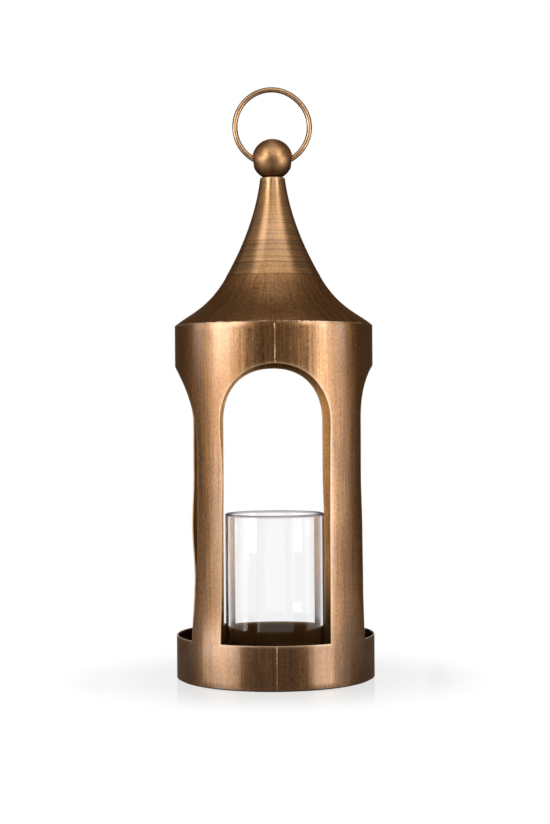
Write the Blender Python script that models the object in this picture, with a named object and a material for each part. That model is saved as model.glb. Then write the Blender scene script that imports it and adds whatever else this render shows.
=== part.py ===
"""Sheet-brass lantern: rolled tube with four arched windows, spun trumpet roof, ball finial,
carrying ring and a loose glass cylinder.

Metres, +Z up. The origin is the centre of the underside, and the front is -Y.
"""
import math
from typing import NamedTuple

import bmesh
import bpy
from mathutils import Matrix, Vector
from mathutils.geometry import delaunay_2d_cdt, interpolate_bezier

MM = 0.001

# Rolled tube
TUBE_RADIUS = 75.0 * MM
TUBE_HEIGHT = 265.0 * MM
TUBE_SHEET = 1.0 * MM
WINDOW_COUNT = 4
SILL_HEIGHT = 32.0 * MM
WINDOW_HEIGHT = 203.0 * MM
WINDOW_HALF_WIDTH = 42.5 * MM

# Floor and felt
FLOOR_THICKNESS = 1.2 * MM
FLOOR_RECESS = 0.8 * MM
FELT_THICKNESS = 1.5 * MM
FELT_MARGIN = 0.9 * MM

# Roof, in two spun pieces
ROOF_SHEET = 0.9 * MM
FLARE_HEIGHT = 37.4 * MM
FLARE_EAVE_ANGLE = math.radians(48.0)
FLARE_EAVE_PULL = 13.0 * MM
FLARE_JOINT_PULL = 28.0 * MM
SKIRT_DEPTH = 6.0 * MM
JOINT_RADIUS = 35.85 * MM
JOINT_ANGLE = math.radians(29.4)
TONGUE_HEIGHT = 6.0 * MM
JOGGLE_HEIGHT = 4.0 * MM
SPIRE_HEIGHT = 75.2 * MM
SPIRE_JOINT_PULL = 22.0 * MM
SPIRE_NECK_PULL = 30.0 * MM
SPIRE_NECK_ANGLE = math.radians(7.7)
NECK_RADIUS = 9.5 * MM
NECK_SHOULDER = 1.4 * MM
NECK_HOLE_RADIUS = 7.0 * MM

# Finial
BALL_RADIUS = 15.4 * MM
SCREW_RADIUS = 2.5 * MM
SCREW_GRIP = 7.2 * MM
SCREW_HEAD_RADIUS = 4.3 * MM
SCREW_HEAD_HEIGHT = 3.2 * MM
SCREW_SLOT_WIDTH = 1.2 * MM
SCREW_SLOT_DEPTH = 1.3 * MM
WASHER_THICKNESS = 1.2 * MM
WASHER_CLEARANCE = 0.4 * MM

# Carrying ring
RING_RADIUS = 28.35 * MM
WIRE_RADIUS = 2.0 * MM
RING_ENTRY_RISE = 0.8 * MM

# Glass cylinder
GLASS_RADIUS = 37.8 * MM
GLASS_HEIGHT = 121.0 * MM
GLASS_WALL = 3.0 * MM
GLASS_FLOOR = 4.5 * MM
GLASS_FOOT_ROUND = 2.5 * MM
GLASS_WELL_ROUND = 3.5 * MM

# Clearances
SEAT_GAP = 0.3 * MM
THREAD_GAP = 0.3 * MM
BORE_CLEARANCE = 0.35 * MM

# Facets
TURN_STEPS = 60
SMALL_TURN_STEPS = 40
WIRE_STEPS = 56
CURVE_STEPS = 10
ROUND_STEPS = 4
JAMB_STEPS = 10
ARCH_STEPS = 12
SHARP_ANGLE = math.radians(35.0)


class HalfWindow(NamedTuple):
    """One hand-cut side of a window: how far its jamb strays outward from the layout line at the
    sill, at the quarter heights and where the arch springs, then the rise of the arch and how
    full its shoulder is (2 is a true ellipse)."""

    strays: tuple = (0.0, 0.0, 0.0, 0.0, 0.0)
    rise: float = WINDOW_HALF_WIDTH
    fullness: float = 2.0


# The windows were cut by hand, so no jamb is quite straight. Each pair is the side at the smaller
# angle, then the side at the larger angle, turning from the front towards +X.
FRONT_WINDOW = (
    HalfWindow((0.4 * MM, -0.7 * MM, -1.3 * MM, -2.3 * MM, -0.2 * MM)),
    HalfWindow((-0.9 * MM, -0.9 * MM, -0.9 * MM, -0.6 * MM, 0.0)),
)
RIGHT_WINDOW = (
    HalfWindow((-4.0 * MM, -2.4 * MM, -1.8 * MM, -0.1 * MM, -0.4 * MM), fullness=2.4),
    HalfWindow(),
)
BACK_WINDOW = (
    HalfWindow((0.0, 0.0, 0.0, -1.0 * MM, -1.0 * MM), fullness=2.15),
    HalfWindow((0.6 * MM, 0.6 * MM, 0.6 * MM, 0.2 * MM, 0.2 * MM), fullness=2.15),
)
LEFT_WINDOW = (
    HalfWindow((-2.3 * MM, 0.8 * MM, -2.3 * MM, -0.1 * MM, -0.1 * MM)),
    HalfWindow((2.3 * MM, 6.8 * MM, 10.1 * MM, 10.5 * MM, 10.1 * MM), rise=60.0 * MM),
)
WINDOWS = (FRONT_WINDOW, RIGHT_WINDOW, BACK_WINDOW, LEFT_WINDOW)

# Heights and radii that follow from the sizes above
FLOOR_UNDERSIDE = FELT_THICKNESS + SEAT_GAP
FLOOR_TOP = FLOOR_UNDERSIDE + FLOOR_THICKNESS
TUBE_FOOT = FLOOR_UNDERSIDE - FLOOR_RECESS
TUBE_TOP = TUBE_FOOT + TUBE_HEIGHT
TUBE_BORE = TUBE_RADIUS - TUBE_SHEET
EAVE = TUBE_TOP + SEAT_GAP
JOINT = EAVE + FLARE_HEIGHT
SPIRE_FOOT = JOINT + SEAT_GAP
NECK_TOP = SPIRE_FOOT + SPIRE_HEIGHT
NECK_UNDERSIDE = NECK_TOP - ROOF_SHEET
BALL_CENTRE = NECK_TOP + math.sqrt((BALL_RADIUS + SEAT_GAP) ** 2 - NECK_HOLE_RADIUS ** 2)
BALL_FLAT = NECK_UNDERSIDE
WASHER_TOP = NECK_UNDERSIDE - SEAT_GAP
WASHER_RADIUS = NECK_RADIUS - ROOF_SHEET - WASHER_CLEARANCE
SCREW_HOLE_RADIUS = SCREW_RADIUS + THREAD_GAP
SCREW_SEAT = WASHER_TOP - WASHER_THICKNESS - SEAT_GAP
SCREW_TIP = BALL_FLAT + SCREW_GRIP
GLASS_FOOT = FLOOR_TOP + SEAT_GAP


def clear_scene():
    """Remove every object that the scene opens with."""
    for thing in list(bpy.data.objects):
        bpy.data.objects.remove(thing, do_unlink=True)


def finish(name, colour, metallic, roughness, alpha=1.0):
    """Return a Principled material."""
    look = bpy.data.materials.new(name)
    look.use_nodes = True
    shader = look.node_tree.nodes["Principled BSDF"]
    shader.inputs["Base Color"].default_value = (*colour, 1.0)
    shader.inputs["Metallic"].default_value = metallic
    shader.inputs["Roughness"].default_value = roughness
    shader.inputs["Alpha"].default_value = alpha
    look.diffuse_color = (*colour, alpha)
    return look


def antique_brass():
    """Brushed, darkened brass of the rolled tube."""
    return finish("antique_brass", (0.56, 0.36, 0.19), 1.0, 0.38)


def spun_brass():
    """Brass with fine turning rings, for the spire."""
    return finish("spun_brass", (0.60, 0.39, 0.20), 1.0, 0.34)


def dark_brass():
    """Brass that has toned darker, for the flare and the floor."""
    return finish("dark_brass", (0.42, 0.26, 0.14), 1.0, 0.42)


def ball_brass():
    """Satin brown brass of the ball."""
    return finish("ball_brass", (0.40, 0.26, 0.14), 1.0, 0.36)


def bright_wire():
    """Brighter, handled brass of the ring."""
    return finish("bright_wire", (0.78, 0.56, 0.36), 1.0, 0.26)


def screw_steel():
    """Plain steel of the hidden screw and washer."""
    return finish("screw_steel", (0.55, 0.54, 0.52), 1.0, 0.4)


def clear_glass():
    """Clear glass."""
    return finish("clear_glass", (0.93, 0.92, 0.93), 0.0, 0.05, alpha=0.25)


def black_felt():
    """Black felt."""
    return finish("black_felt", (0.02, 0.02, 0.02), 0.0, 0.95)


def add_object(name, data, look):
    """Link an object with its own material and return it."""
    thing = bpy.data.objects.new(name, data)
    thing.data.materials.append(look)
    bpy.context.collection.objects.link(thing)
    return thing


def mesh_object(name, bm, look):
    """Turn a bmesh into a smooth-shaded object with its faces outward."""
    bmesh.ops.recalc_face_normals(bm, faces=bm.faces)
    mesh = bpy.data.meshes.new(name)
    bm.to_mesh(mesh)
    bm.free()
    mesh.shade_smooth()
    mesh.set_sharp_from_angle(angle=SHARP_ANGLE)
    return add_object(name, mesh, look)


def turned(outline, steps=TURN_STEPS):
    """Spin a closed outline of (radius, height) points about Z and return the bmesh."""
    bm = bmesh.new()
    corners = [bm.verts.new((radius, 0.0, height)) for radius, height in outline]
    for start, end in zip(corners, corners[1:] + corners[:1]):
        bm.edges.new((start, end))
    on_axis = [edge for edge in bm.edges if all(abs(vert.co.x) < SEAT_GAP * MM for vert in edge.verts)]
    bmesh.ops.delete(bm, geom=on_axis, context="EDGES")
    bmesh.ops.spin(bm, geom=bm.verts[:] + bm.edges[:], cent=(0.0, 0.0, 0.0), axis=(0.0, 0.0, 1.0),
                   angle=math.tau, steps=steps)
    bmesh.ops.remove_doubles(bm, verts=bm.verts, dist=SEAT_GAP * MM)
    return bm


def bezier(start, start_handle, end_handle, end, steps=CURVE_STEPS):
    """Return the (radius, height) points of a Bezier curve."""
    knots = [Vector((*point, 0.0)) for point in (start, start_handle, end_handle, end)]
    return [(point.x, point.y) for point in interpolate_bezier(*knots, steps + 1)]


def arc(centre, radius, start, end, steps=ROUND_STEPS):
    """Return the points of an arc from one angle to another, in degrees from +radius."""
    points = []
    for index in range(steps + 1):
        angle = math.radians(start + (end - start) * index / steps)
        points.append((centre[0] + radius * math.cos(angle), centre[1] + radius * math.sin(angle)))
    return points


def inner_side(outer, thickness):
    """Offset a wall's outer points, given from top to bottom, by its thickness towards the axis."""
    inner = []
    for index, (radius, height) in enumerate(outer):
        before = Vector(outer[max(index - 1, 0)])
        after = Vector(outer[min(index + 1, len(outer) - 1)])
        along = (after - before).normalized()
        inner.append((radius + along.y * thickness, height - along.x * thickness))
    return inner


def height_on(curve, radius):
    """Return the height at which a curve, given from top to bottom, reaches a radius."""
    for (r0, z0), (r1, z1) in zip(curve, curve[1:]):
        if r0 <= radius <= r1:
            return z0 + (z1 - z0) * (radius - r0) / (r1 - r0)
    return curve[-1][1]


def half_window_points(side, half):
    """Return one side of a window on the flat sheet, from the sill corner to the crown, as
    (distance from the centre line, height) points. side is -1 or 1."""
    sill = TUBE_FOOT + SILL_HEIGHT
    spring = sill + WINDOW_HEIGHT - half.rise
    spans = [WINDOW_HALF_WIDTH + stray for stray in half.strays]
    points = []
    for index in range(JAMB_STEPS):
        share = index / JAMB_STEPS * (len(spans) - 1)
        step = int(share)
        ease = (1.0 - math.cos(math.pi * (share - step))) / 2.0
        span = spans[step] + (spans[step + 1] - spans[step]) * ease
        points.append((side * span, sill + (spring - sill) * index / JAMB_STEPS))
    power = 2.0 / half.fullness
    for index in range(ARCH_STEPS + 1):
        angle = math.pi / 2.0 * index / ARCH_STEPS
        across = max(math.cos(angle), 0.0) ** power
        up = math.sin(angle) ** power
        points.append((side * spans[-1] * across if index < ARCH_STEPS else 0.0, spring + half.rise * up))
    return points


def flat_pattern():
    """Lay out the sheet before rolling. Return its points and the triangles that are metal.

    The sheet runs once round the tube from the seam at the front centre, so the front window is
    cut half into each end."""
    girth = math.tau * TUBE_RADIUS
    points = [(0.0, TUBE_FOOT), (girth, TUBE_FOOT), (girth, TUBE_TOP), (0.0, TUBE_TOP)]
    outlines = [[0, 1, 2, 3]]

    def add_outline(centre, outline):
        first = len(points)
        points.extend((centre + across, height) for across, height in outline)
        outlines.append(list(range(first, len(points))))

    sill = TUBE_FOOT + SILL_HEIGHT
    for index, (lower, upper) in enumerate(WINDOWS):
        centre = girth * index / WINDOW_COUNT
        before = half_window_points(-1, lower)
        after = half_window_points(1, upper)
        if index == 0:
            add_outline(girth, [(0.0, sill)] + before[::-1])
            add_outline(centre, after + [(0.0, sill)])
        else:
            add_outline(centre, after + before[-2::-1])

    bends = []
    for step in range(1, TURN_STEPS):
        across = girth * step / TURN_STEPS
        bends.append((len(points), len(points) + 1))
        points.extend([(across, TUBE_FOOT), (across, TUBE_TOP)])

    scaled = [Vector(point) / MM for point in points]
    corners, _, faces, _, _, sources = delaunay_2d_cdt(scaled, bends, outlines, 1, SEAT_GAP)
    metal = [face for face, source in zip(faces, sources) if source == [0]]
    return [corner * MM for corner in corners], metal


def make_body_tube():
    """Roll the flat pattern into a tube, close its seam and give it the sheet's thickness."""
    corners, metal = flat_pattern()
    bm = bmesh.new()
    rolled = []
    for across, height in corners:
        angle = across / TUBE_RADIUS
        rolled.append(bm.verts.new((TUBE_RADIUS * math.sin(angle), -TUBE_RADIUS * math.cos(angle), height)))
    for face in metal:
        bm.faces.new([rolled[index] for index in face])
    bmesh.ops.delete(bm, geom=[vert for vert in bm.verts if not vert.link_faces], context="VERTS")
    bmesh.ops.remove_doubles(bm, verts=bm.verts, dist=SEAT_GAP * MM)
    tube = mesh_object("body_tube", bm, antique_brass())
    wall = tube.modifiers.new("sheet", "SOLIDIFY")
    wall.thickness = TUBE_SHEET
    wall.offset = -1.0
    return tube


def make_floor_plate():
    """Flat round floor, soldered just inside the foot of the tube."""
    radius = TUBE_BORE - SEAT_GAP
    outline = [(0.0, FLOOR_TOP), (radius, FLOOR_TOP), (radius, FLOOR_UNDERSIDE), (0.0, FLOOR_UNDERSIDE)]
    return mesh_object("floor_plate", turned(outline), dark_brass())


def make_base_felt():
    """Felt disc glued under the floor. It stands slightly below the tube's foot."""
    radius = TUBE_BORE - FELT_MARGIN
    outline = [(0.0, FELT_THICKNESS), (radius, FELT_THICKNESS), (radius, 0.0), (0.0, 0.0)]
    return mesh_object("base_felt", turned(outline), black_felt())


def flare_curve():
    """Outer side of the flare, from the joint down to the eave."""
    joint_handle = (JOINT_RADIUS + FLARE_JOINT_PULL * math.sin(JOINT_ANGLE),
                    JOINT - FLARE_JOINT_PULL * math.cos(JOINT_ANGLE))
    eave_handle = (TUBE_RADIUS - FLARE_EAVE_PULL * math.sin(FLARE_EAVE_ANGLE),
                   EAVE + FLARE_EAVE_PULL * math.cos(FLARE_EAVE_ANGLE))
    return bezier((JOINT_RADIUS, JOINT), joint_handle, eave_handle, (TUBE_RADIUS, EAVE))


def make_roof_flare():
    """Lower half of the roof: its eave lies on the tube's top edge, a skirt drops inside the tube
    and a joggled tongue stands up inside the spire."""
    outer = flare_curve()
    inner = inner_side(outer, ROOF_SHEET)
    skirt_radius = TUBE_BORE - SEAT_GAP
    skirt_foot = EAVE - SKIRT_DEPTH
    skirt_inside = skirt_radius - ROOF_SHEET
    step = ROOF_SHEET + SEAT_GAP
    lean = math.tan(JOINT_ANGLE)
    tongue_top = JOINT + TONGUE_HEIGHT
    across = step / math.cos(JOINT_ANGLE)
    wall = ROOF_SHEET / math.cos(JOINT_ANGLE)
    joggle_foot = JOINT - JOGGLE_HEIGHT
    kept = [point for point in inner if point[0] < skirt_inside - SEAT_GAP and point[1] < joggle_foot]
    outline = list(outer)
    outline += [(skirt_radius, EAVE), (skirt_radius, skirt_foot), (skirt_inside, skirt_foot)]
    outline += [(skirt_inside, height_on(inner, skirt_inside))]
    outline += kept[::-1]
    outline += [(JOINT_RADIUS - across - wall, JOINT)]
    outline += [(JOINT_RADIUS - across - wall - TONGUE_HEIGHT * lean, tongue_top)]
    outline += [(JOINT_RADIUS - across - TONGUE_HEIGHT * lean, tongue_top)]
    outline += [(JOINT_RADIUS - across, JOINT)]
    return mesh_object("roof_flare", turned(outline), dark_brass())


def spire_curve():
    """Outer side of the spire, from under the neck's shoulder down to the joint."""
    top = (NECK_RADIUS, NECK_TOP - NECK_SHOULDER)
    neck_handle = (NECK_RADIUS + SPIRE_NECK_PULL * math.sin(SPIRE_NECK_ANGLE),
                   top[1] - SPIRE_NECK_PULL * math.cos(SPIRE_NECK_ANGLE))
    joint_handle = (JOINT_RADIUS - SPIRE_JOINT_PULL * math.sin(JOINT_ANGLE),
                    SPIRE_FOOT + SPIRE_JOINT_PULL * math.cos(JOINT_ANGLE))
    return bezier(top, neck_handle, joint_handle, (JOINT_RADIUS, SPIRE_FOOT))


def make_roof_spire():
    """Upper half of the roof: a slender trumpet whose neck is turned in to a seat for the ball."""
    wall = spire_curve()
    inner = inner_side(wall, ROOF_SHEET)
    shoulder = arc((NECK_RADIUS - NECK_SHOULDER, NECK_TOP - NECK_SHOULDER), NECK_SHOULDER, 90.0, 0.0)
    edge = JOINT_RADIUS - ROOF_SHEET / math.cos(JOINT_ANGLE)
    outline = [(NECK_HOLE_RADIUS, NECK_TOP)] + shoulder + wall[1:]
    outline += [(edge, SPIRE_FOOT)] + inner[-2:0:-1]
    outline += [(inner[0][0], NECK_UNDERSIDE), (NECK_HOLE_RADIUS, NECK_UNDERSIDE)]
    return mesh_object("roof_spire", turned(outline), spun_brass())


def ring_bore():
    """Return the radius of the ball's cross bore, the height of its axis and of the ring's centre.

    The wire is bent, so inside the straight bore it is lowest in the middle of the ball and
    highest where it comes out. The bore is as wide as that needs, with a running clearance."""
    ring_centre = BALL_CENTRE + RING_ENTRY_RISE + math.sqrt(RING_RADIUS ** 2 - BALL_RADIUS ** 2)
    lowest = ring_centre - RING_RADIUS - WIRE_RADIUS
    radius = WIRE_RADIUS
    for _ in range(CURVE_STEPS):
        way_out = math.sqrt(BALL_RADIUS ** 2 - radius ** 2)
        slope = math.asin(way_out / RING_RADIUS)
        highest = ring_centre - RING_RADIUS * math.cos(slope) + WIRE_RADIUS / math.cos(slope)
        radius = (highest - lowest) / 2.0 + BORE_CLEARANCE
    return radius, (highest + lowest) / 2.0, ring_centre


def make_finial_ball(bore_radius, bore_height):
    """Turned ball with a small flat and a tapped hole below, and a cross bore for the ring."""
    flat_angle = -math.degrees(math.acos((BALL_CENTRE - BALL_FLAT) / BALL_RADIUS)) - 90.0
    ball = arc((0.0, BALL_CENTRE), BALL_RADIUS, 90.0, -180.0 - flat_angle, SMALL_TURN_STEPS // 2)
    hole_end = SCREW_TIP + THREAD_GAP
    outline = [(0.0, BALL_CENTRE + BALL_RADIUS)] + ball[1:]
    outline += [(SCREW_HOLE_RADIUS, BALL_FLAT), (SCREW_HOLE_RADIUS, hole_end), (0.0, hole_end)]
    finial = mesh_object("finial_ball", turned(outline, SMALL_TURN_STEPS), ball_brass())

    drill = bmesh.new()
    bmesh.ops.create_cone(drill, cap_ends=True, segments=SMALL_TURN_STEPS, radius1=bore_radius,
                          radius2=bore_radius, depth=BALL_RADIUS * 3.0,
                          matrix=Matrix.Rotation(math.pi / 2.0, 4, "Y"))
    cutter = mesh_object("ring_bore_drill", drill, ball_brass())
    cutter.location = (0.0, 0.0, bore_height)
    cutter.hide_render = True
    cutter.display_type = "WIRE"
    bore = finial.modifiers.new("ring bore", "BOOLEAN")
    bore.object = cutter
    bore.operation = "DIFFERENCE"
    return finial


def make_finial_washer():
    """Washer that bridges the neck's opening from below."""
    low = WASHER_TOP - WASHER_THICKNESS
    outline = [(SCREW_HOLE_RADIUS, WASHER_TOP), (WASHER_RADIUS, WASHER_TOP), (WASHER_RADIUS, low),
               (SCREW_HOLE_RADIUS, low)]
    return mesh_object("finial_washer", turned(outline, SMALL_TURN_STEPS), screw_steel())


def make_finial_screw():
    """Slotted cheese-head screw, driven up from inside the spire into the ball."""
    low = SCREW_SEAT - SCREW_HEAD_HEIGHT
    outline = [(0.0, SCREW_TIP), (SCREW_RADIUS, SCREW_TIP), (SCREW_RADIUS, SCREW_SEAT),
               (SCREW_HEAD_RADIUS, SCREW_SEAT), (SCREW_HEAD_RADIUS, low), (0.0, low)]
    screw = mesh_object("finial_screw", turned(outline, SMALL_TURN_STEPS), screw_steel())

    blade = bmesh.new()
    bmesh.ops.create_cube(blade, size=1.0)
    bmesh.ops.scale(blade, vec=(SCREW_HEAD_RADIUS * 3.0, SCREW_SLOT_WIDTH, SCREW_SLOT_DEPTH * 2.0),
                    verts=blade.verts)
    cutter = mesh_object("screw_slot_blade", blade, screw_steel())
    cutter.location = (0.0, 0.0, low)
    cutter.hide_render = True
    cutter.display_type = "WIRE"
    slot = screw.modifiers.new("slot", "BOOLEAN")
    slot.object = cutter
    slot.operation = "DIFFERENCE"
    return screw


def make_hanging_ring(bore_height, ring_centre):
    """Round wire ring, hung on an empty on the axis of the ball's cross bore."""
    pivot = bpy.data.objects.new("ring_pivot", None)
    pivot.location = (0.0, 0.0, bore_height)
    bpy.context.collection.objects.link(pivot)

    wire = bpy.data.curves.new("hanging_ring", "CURVE")
    wire.dimensions = "3D"
    wire.bevel_depth = WIRE_RADIUS
    wire.bevel_resolution = 3
    loop = wire.splines.new("POLY")
    loop.points.add(WIRE_STEPS - 1)
    loop.use_cyclic_u = True
    for index, point in enumerate(loop.points):
        angle = math.tau * index / WIRE_STEPS
        point.co = (RING_RADIUS * math.sin(angle), 0.0, RING_RADIUS * math.cos(angle), 1.0)
    ring = add_object("hanging_ring", wire, bright_wire())
    ring.parent = pivot
    ring.location = (0.0, 0.0, ring_centre - bore_height)
    return ring


def make_glass_cylinder():
    """Clear glass cylinder with a closed foot and a fire-polished lip, standing on the floor."""
    inside = GLASS_RADIUS - GLASS_WALL
    lip = GLASS_WALL / 2.0
    top = GLASS_FOOT + GLASS_HEIGHT
    well = GLASS_FOOT + GLASS_FLOOR
    outline = arc((inside + lip, top - lip), lip, 180.0, 0.0, ROUND_STEPS * 2)
    outline += arc((GLASS_RADIUS - GLASS_FOOT_ROUND, GLASS_FOOT + GLASS_FOOT_ROUND), GLASS_FOOT_ROUND,
                   0.0, -90.0)
    outline += [(0.0, GLASS_FOOT), (0.0, well)]
    outline += arc((inside - GLASS_WELL_ROUND, well + GLASS_WELL_ROUND), GLASS_WELL_ROUND, -90.0, 0.0)
    return mesh_object("glass_cylinder", turned(outline), clear_glass())


def main():
    """Build the lantern."""
    clear_scene()
    make_body_tube()
    make_floor_plate()
    make_base_felt()
    make_roof_flare()
    make_roof_spire()
    bore_radius, bore_height, ring_centre = ring_bore()
    make_finial_ball(bore_radius, bore_height)
    make_finial_washer()
    make_finial_screw()
    make_hanging_ring(bore_height, ring_centre)
    make_glass_cylinder()


main()
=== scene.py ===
"""A candle lantern of rolled and spun brass, with its finishes, on a pale studio floor.

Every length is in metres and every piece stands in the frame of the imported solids: +Z is up,
the origin is the centre of the underside, and the tube's soldered seam faces -Y.
"""

import logging
import math
from dataclasses import dataclass, field
from enum import Enum
from functools import cache
from typing import Any

import bmesh
import bpy
import numpy as np
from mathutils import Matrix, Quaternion, Vector

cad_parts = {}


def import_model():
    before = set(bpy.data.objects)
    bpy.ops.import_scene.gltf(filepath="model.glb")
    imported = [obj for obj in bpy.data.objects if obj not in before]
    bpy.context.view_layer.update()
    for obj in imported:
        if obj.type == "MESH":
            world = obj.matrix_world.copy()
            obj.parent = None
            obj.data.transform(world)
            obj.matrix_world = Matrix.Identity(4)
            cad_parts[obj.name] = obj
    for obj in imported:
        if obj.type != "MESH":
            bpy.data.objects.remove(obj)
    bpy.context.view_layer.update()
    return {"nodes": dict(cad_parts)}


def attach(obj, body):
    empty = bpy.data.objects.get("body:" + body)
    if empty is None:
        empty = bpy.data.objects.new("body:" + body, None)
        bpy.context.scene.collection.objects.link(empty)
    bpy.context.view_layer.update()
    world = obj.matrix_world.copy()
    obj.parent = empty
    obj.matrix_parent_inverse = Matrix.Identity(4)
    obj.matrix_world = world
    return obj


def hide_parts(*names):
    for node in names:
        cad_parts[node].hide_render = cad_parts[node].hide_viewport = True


log = logging.getLogger("lantern")

MM = 0.001

# Outer radius of the tube, and of what fits inside it
TUBE_RADIUS = 75.0 * MM
TUBE_FIT = 73.7 * MM

# Steps round the axis, round a small turned piece, round a bead of solder and over a rounded edge
TURN_STEPS = 192
SMALL_TURN_STEPS = 96
BEAD_STEPS = 10
ROUND_STEPS = 4

# Points nearer than this are welded, and faces that meet at a sharper angle keep a hard edge
WELD = 2e-6
CREASE = math.radians(38.0)

Colour = tuple[float, float, float]
Curve = np.ndarray
Grid = np.ndarray


# Curves and grids


def bezier(start: tuple, leave: tuple, arrive: tuple, end: tuple, steps: int) -> Curve:
    """Points on a cubic curve: the four corners weighted by the cubic Bernstein terms.

    Args:
        start: first point, as (radius, height).
        leave: handle that the curve leaves the first point towards.
        arrive: handle that the curve reaches the last point from.
        end: last point.
        steps: number of steps between the ends.

    Returns:
        An array of steps + 1 points.
    """
    share = np.linspace(0.0, 1.0, steps + 1)[:, None]
    rest = 1.0 - share
    corners = [np.asarray(corner, float) for corner in (start, leave, arrive, end)]
    weights = (rest**3, 3.0 * rest**2 * share, 3.0 * rest * share**2, share**3)
    return sum(weight * corner for weight, corner in zip(weights, corners))


def arc(centre: tuple, radius: float, first: float, last: float, steps: int) -> Curve:
    """Points on a circle: centre plus radius times (cosine, sine) of an even run of angles.

    Args:
        centre: centre of the circle, as (radius, height).
        radius: its radius.
        first: first angle in degrees.
        last: last angle in degrees.
        steps: number of steps between them.

    Returns:
        An array of steps + 1 points.
    """
    angles = np.radians(np.linspace(first, last, steps + 1))
    return np.asarray(centre, float) + radius * np.column_stack((np.cos(angles), np.sin(angles)))


def run(*points: tuple, steps: int = 1) -> Curve:
    """Straight lines through the points, each cut into even steps.

    Args:
        points: corners of the line, as (radius, height).
        steps: number of steps in each straight.

    Returns:
        An array of all the points, corners included once.
    """
    corners = np.asarray(points, float)
    marks = np.linspace(0.0, len(corners) - 1.0, (len(corners) - 1) * steps + 1)
    places = np.arange(len(corners))
    return np.column_stack([np.interp(marks, places, corners[:, axis]) for axis in (0, 1)])


def beside(curve: Curve, distance: float) -> Curve:
    """The curve moved sideways: each point plus distance times the unit normal on its right.

    Args:
        curve: points from top to bottom along the outer side of a wall.
        distance: how far to move them towards the axis.

    Returns:
        The moved points, in the same order.
    """
    along = np.gradient(curve, axis=0)
    along /= np.linalg.norm(along, axis=1)[:, None]
    return curve + distance * np.column_stack((along[:, 1], -along[:, 0]))


def ripple(along: np.ndarray, waves: tuple[float, ...], seed: int) -> np.ndarray:
    """An uneven line between about -1 and 1: sines of several wavelengths with seeded phases.

    Args:
        along: distance or angle along the line.
        waves: number of waves in each unit of it.
        seed: seed of the phases.

    Returns:
        One value for each place.
    """
    phases = np.random.default_rng(seed).uniform(0.0, math.tau, len(waves))
    return sum(np.sin(math.tau * wave * along + phase) for wave, phase in zip(waves, phases)) / len(waves)


def turned(outline: Curve, steps: int = TURN_STEPS) -> Grid:
    """The surface that an outline sweeps round the Z axis: (r sin a, -r cos a, z).

    Args:
        outline: points as (radius, height).
        steps: number of places round the axis.

    Returns:
        A grid of points, one row for each point of the outline.
    """
    angles = np.arange(steps) * math.tau / steps
    radius, height = outline[:, :1], outline[:, 1:]
    return np.stack((radius * np.sin(angles), -radius * np.cos(angles), height + 0.0 * angles), axis=-1)


def bead(path: Curve, side: np.ndarray, out: np.ndarray, wide: np.ndarray, high: np.ndarray) -> Grid:
    """An oval cord along a path: path + wide cos(a) side + high sin(a) out.

    Args:
        path: centre line, as (n, 3) points.
        side: unit vector across the cord at each point.
        out: unit vector that the cord stands up along at each point.
        wide: half width at each point.
        high: half height at each point.

    Returns:
        A grid of points, one row for each point of the path.
    """
    angles = np.arange(BEAD_STEPS) * math.tau / BEAD_STEPS
    across = (wide[:, None] * np.cos(angles))[..., None] * side[:, None, :]
    raised = (high[:, None] * np.sin(angles))[..., None] * out[:, None, :]
    return path[:, None, :] + across + raised


@dataclass
class Shell:
    """Grids of points that are gathered and welded into one mesh.

    Attributes:
        places: the points of each grid.
        quads: the corners of each grid's faces.
        marks: named values at each point, which finishes read as attributes.
    """

    places: list = field(default_factory=list)
    quads: list = field(default_factory=list)
    marks: dict = field(default_factory=lambda: {"wear": [], "inside": []})

    def add(self, grid: Grid, round_rows: bool = False, round_columns: bool = False, **marks: Any) -> "Shell":
        """Adds a grid. Face (i, j) has the corners (i, j), (i, j+1), (i+1, j+1) and (i+1, j).

        Args:
            grid: points as (rows, columns, 3).
            round_rows: whether the last row joins the first.
            round_columns: whether the last column joins the first.
            marks: values that spread over the grid's rows and columns, by name.

        Returns:
            The shell itself.
        """
        rows, columns = grid.shape[:2]
        first = sum(len(places) for places in self.places)
        index = first + np.arange(rows * columns).reshape(rows, columns)
        if round_rows:
            index = np.vstack((index, index[:1]))
        if round_columns:
            index = np.hstack((index, index[:, :1]))
        corners = (index[:-1, :-1], index[:-1, 1:], index[1:, 1:], index[1:, :-1])
        self.places.append(grid.reshape(-1, 3))
        self.quads.append(np.stack(corners, axis=-1).reshape(-1, 4))
        for name, values in self.marks.items():
            values.append(np.broadcast_to(marks.get(name, 0.0), (rows, columns)).reshape(-1))
        return self

    def piece(self, name: str, finish: "Finish") -> bpy.types.Object:
        """Welds the grids into a closed mesh that faces outwards.

        Args:
            name: name of the piece.
            finish: what it is finished in.

        Returns:
            The piece, linked to the scene.
        """
        mesh = bpy.data.meshes.new(name)
        mesh.from_pydata(np.concatenate(self.places), [], np.concatenate(self.quads).tolist())
        for mark, values in self.marks.items():
            layer = mesh.attributes.new(mark, "FLOAT", "POINT")
            layer.data.foreach_set("value", np.concatenate(values).astype(np.float32))
        shell = bmesh.new()
        shell.from_mesh(mesh)
        bmesh.ops.remove_doubles(shell, verts=shell.verts, dist=WELD)
        bmesh.ops.recalc_face_normals(shell, faces=shell.faces)
        shell.to_mesh(mesh)
        shell.free()
        mesh.shade_smooth()
        mesh.set_sharp_from_angle(angle=CREASE)
        mesh.materials.append(finish.material())
        thing = bpy.data.objects.new(name, mesh)
        bpy.context.scene.collection.objects.link(thing)
        return thing


# Shader maths


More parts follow.
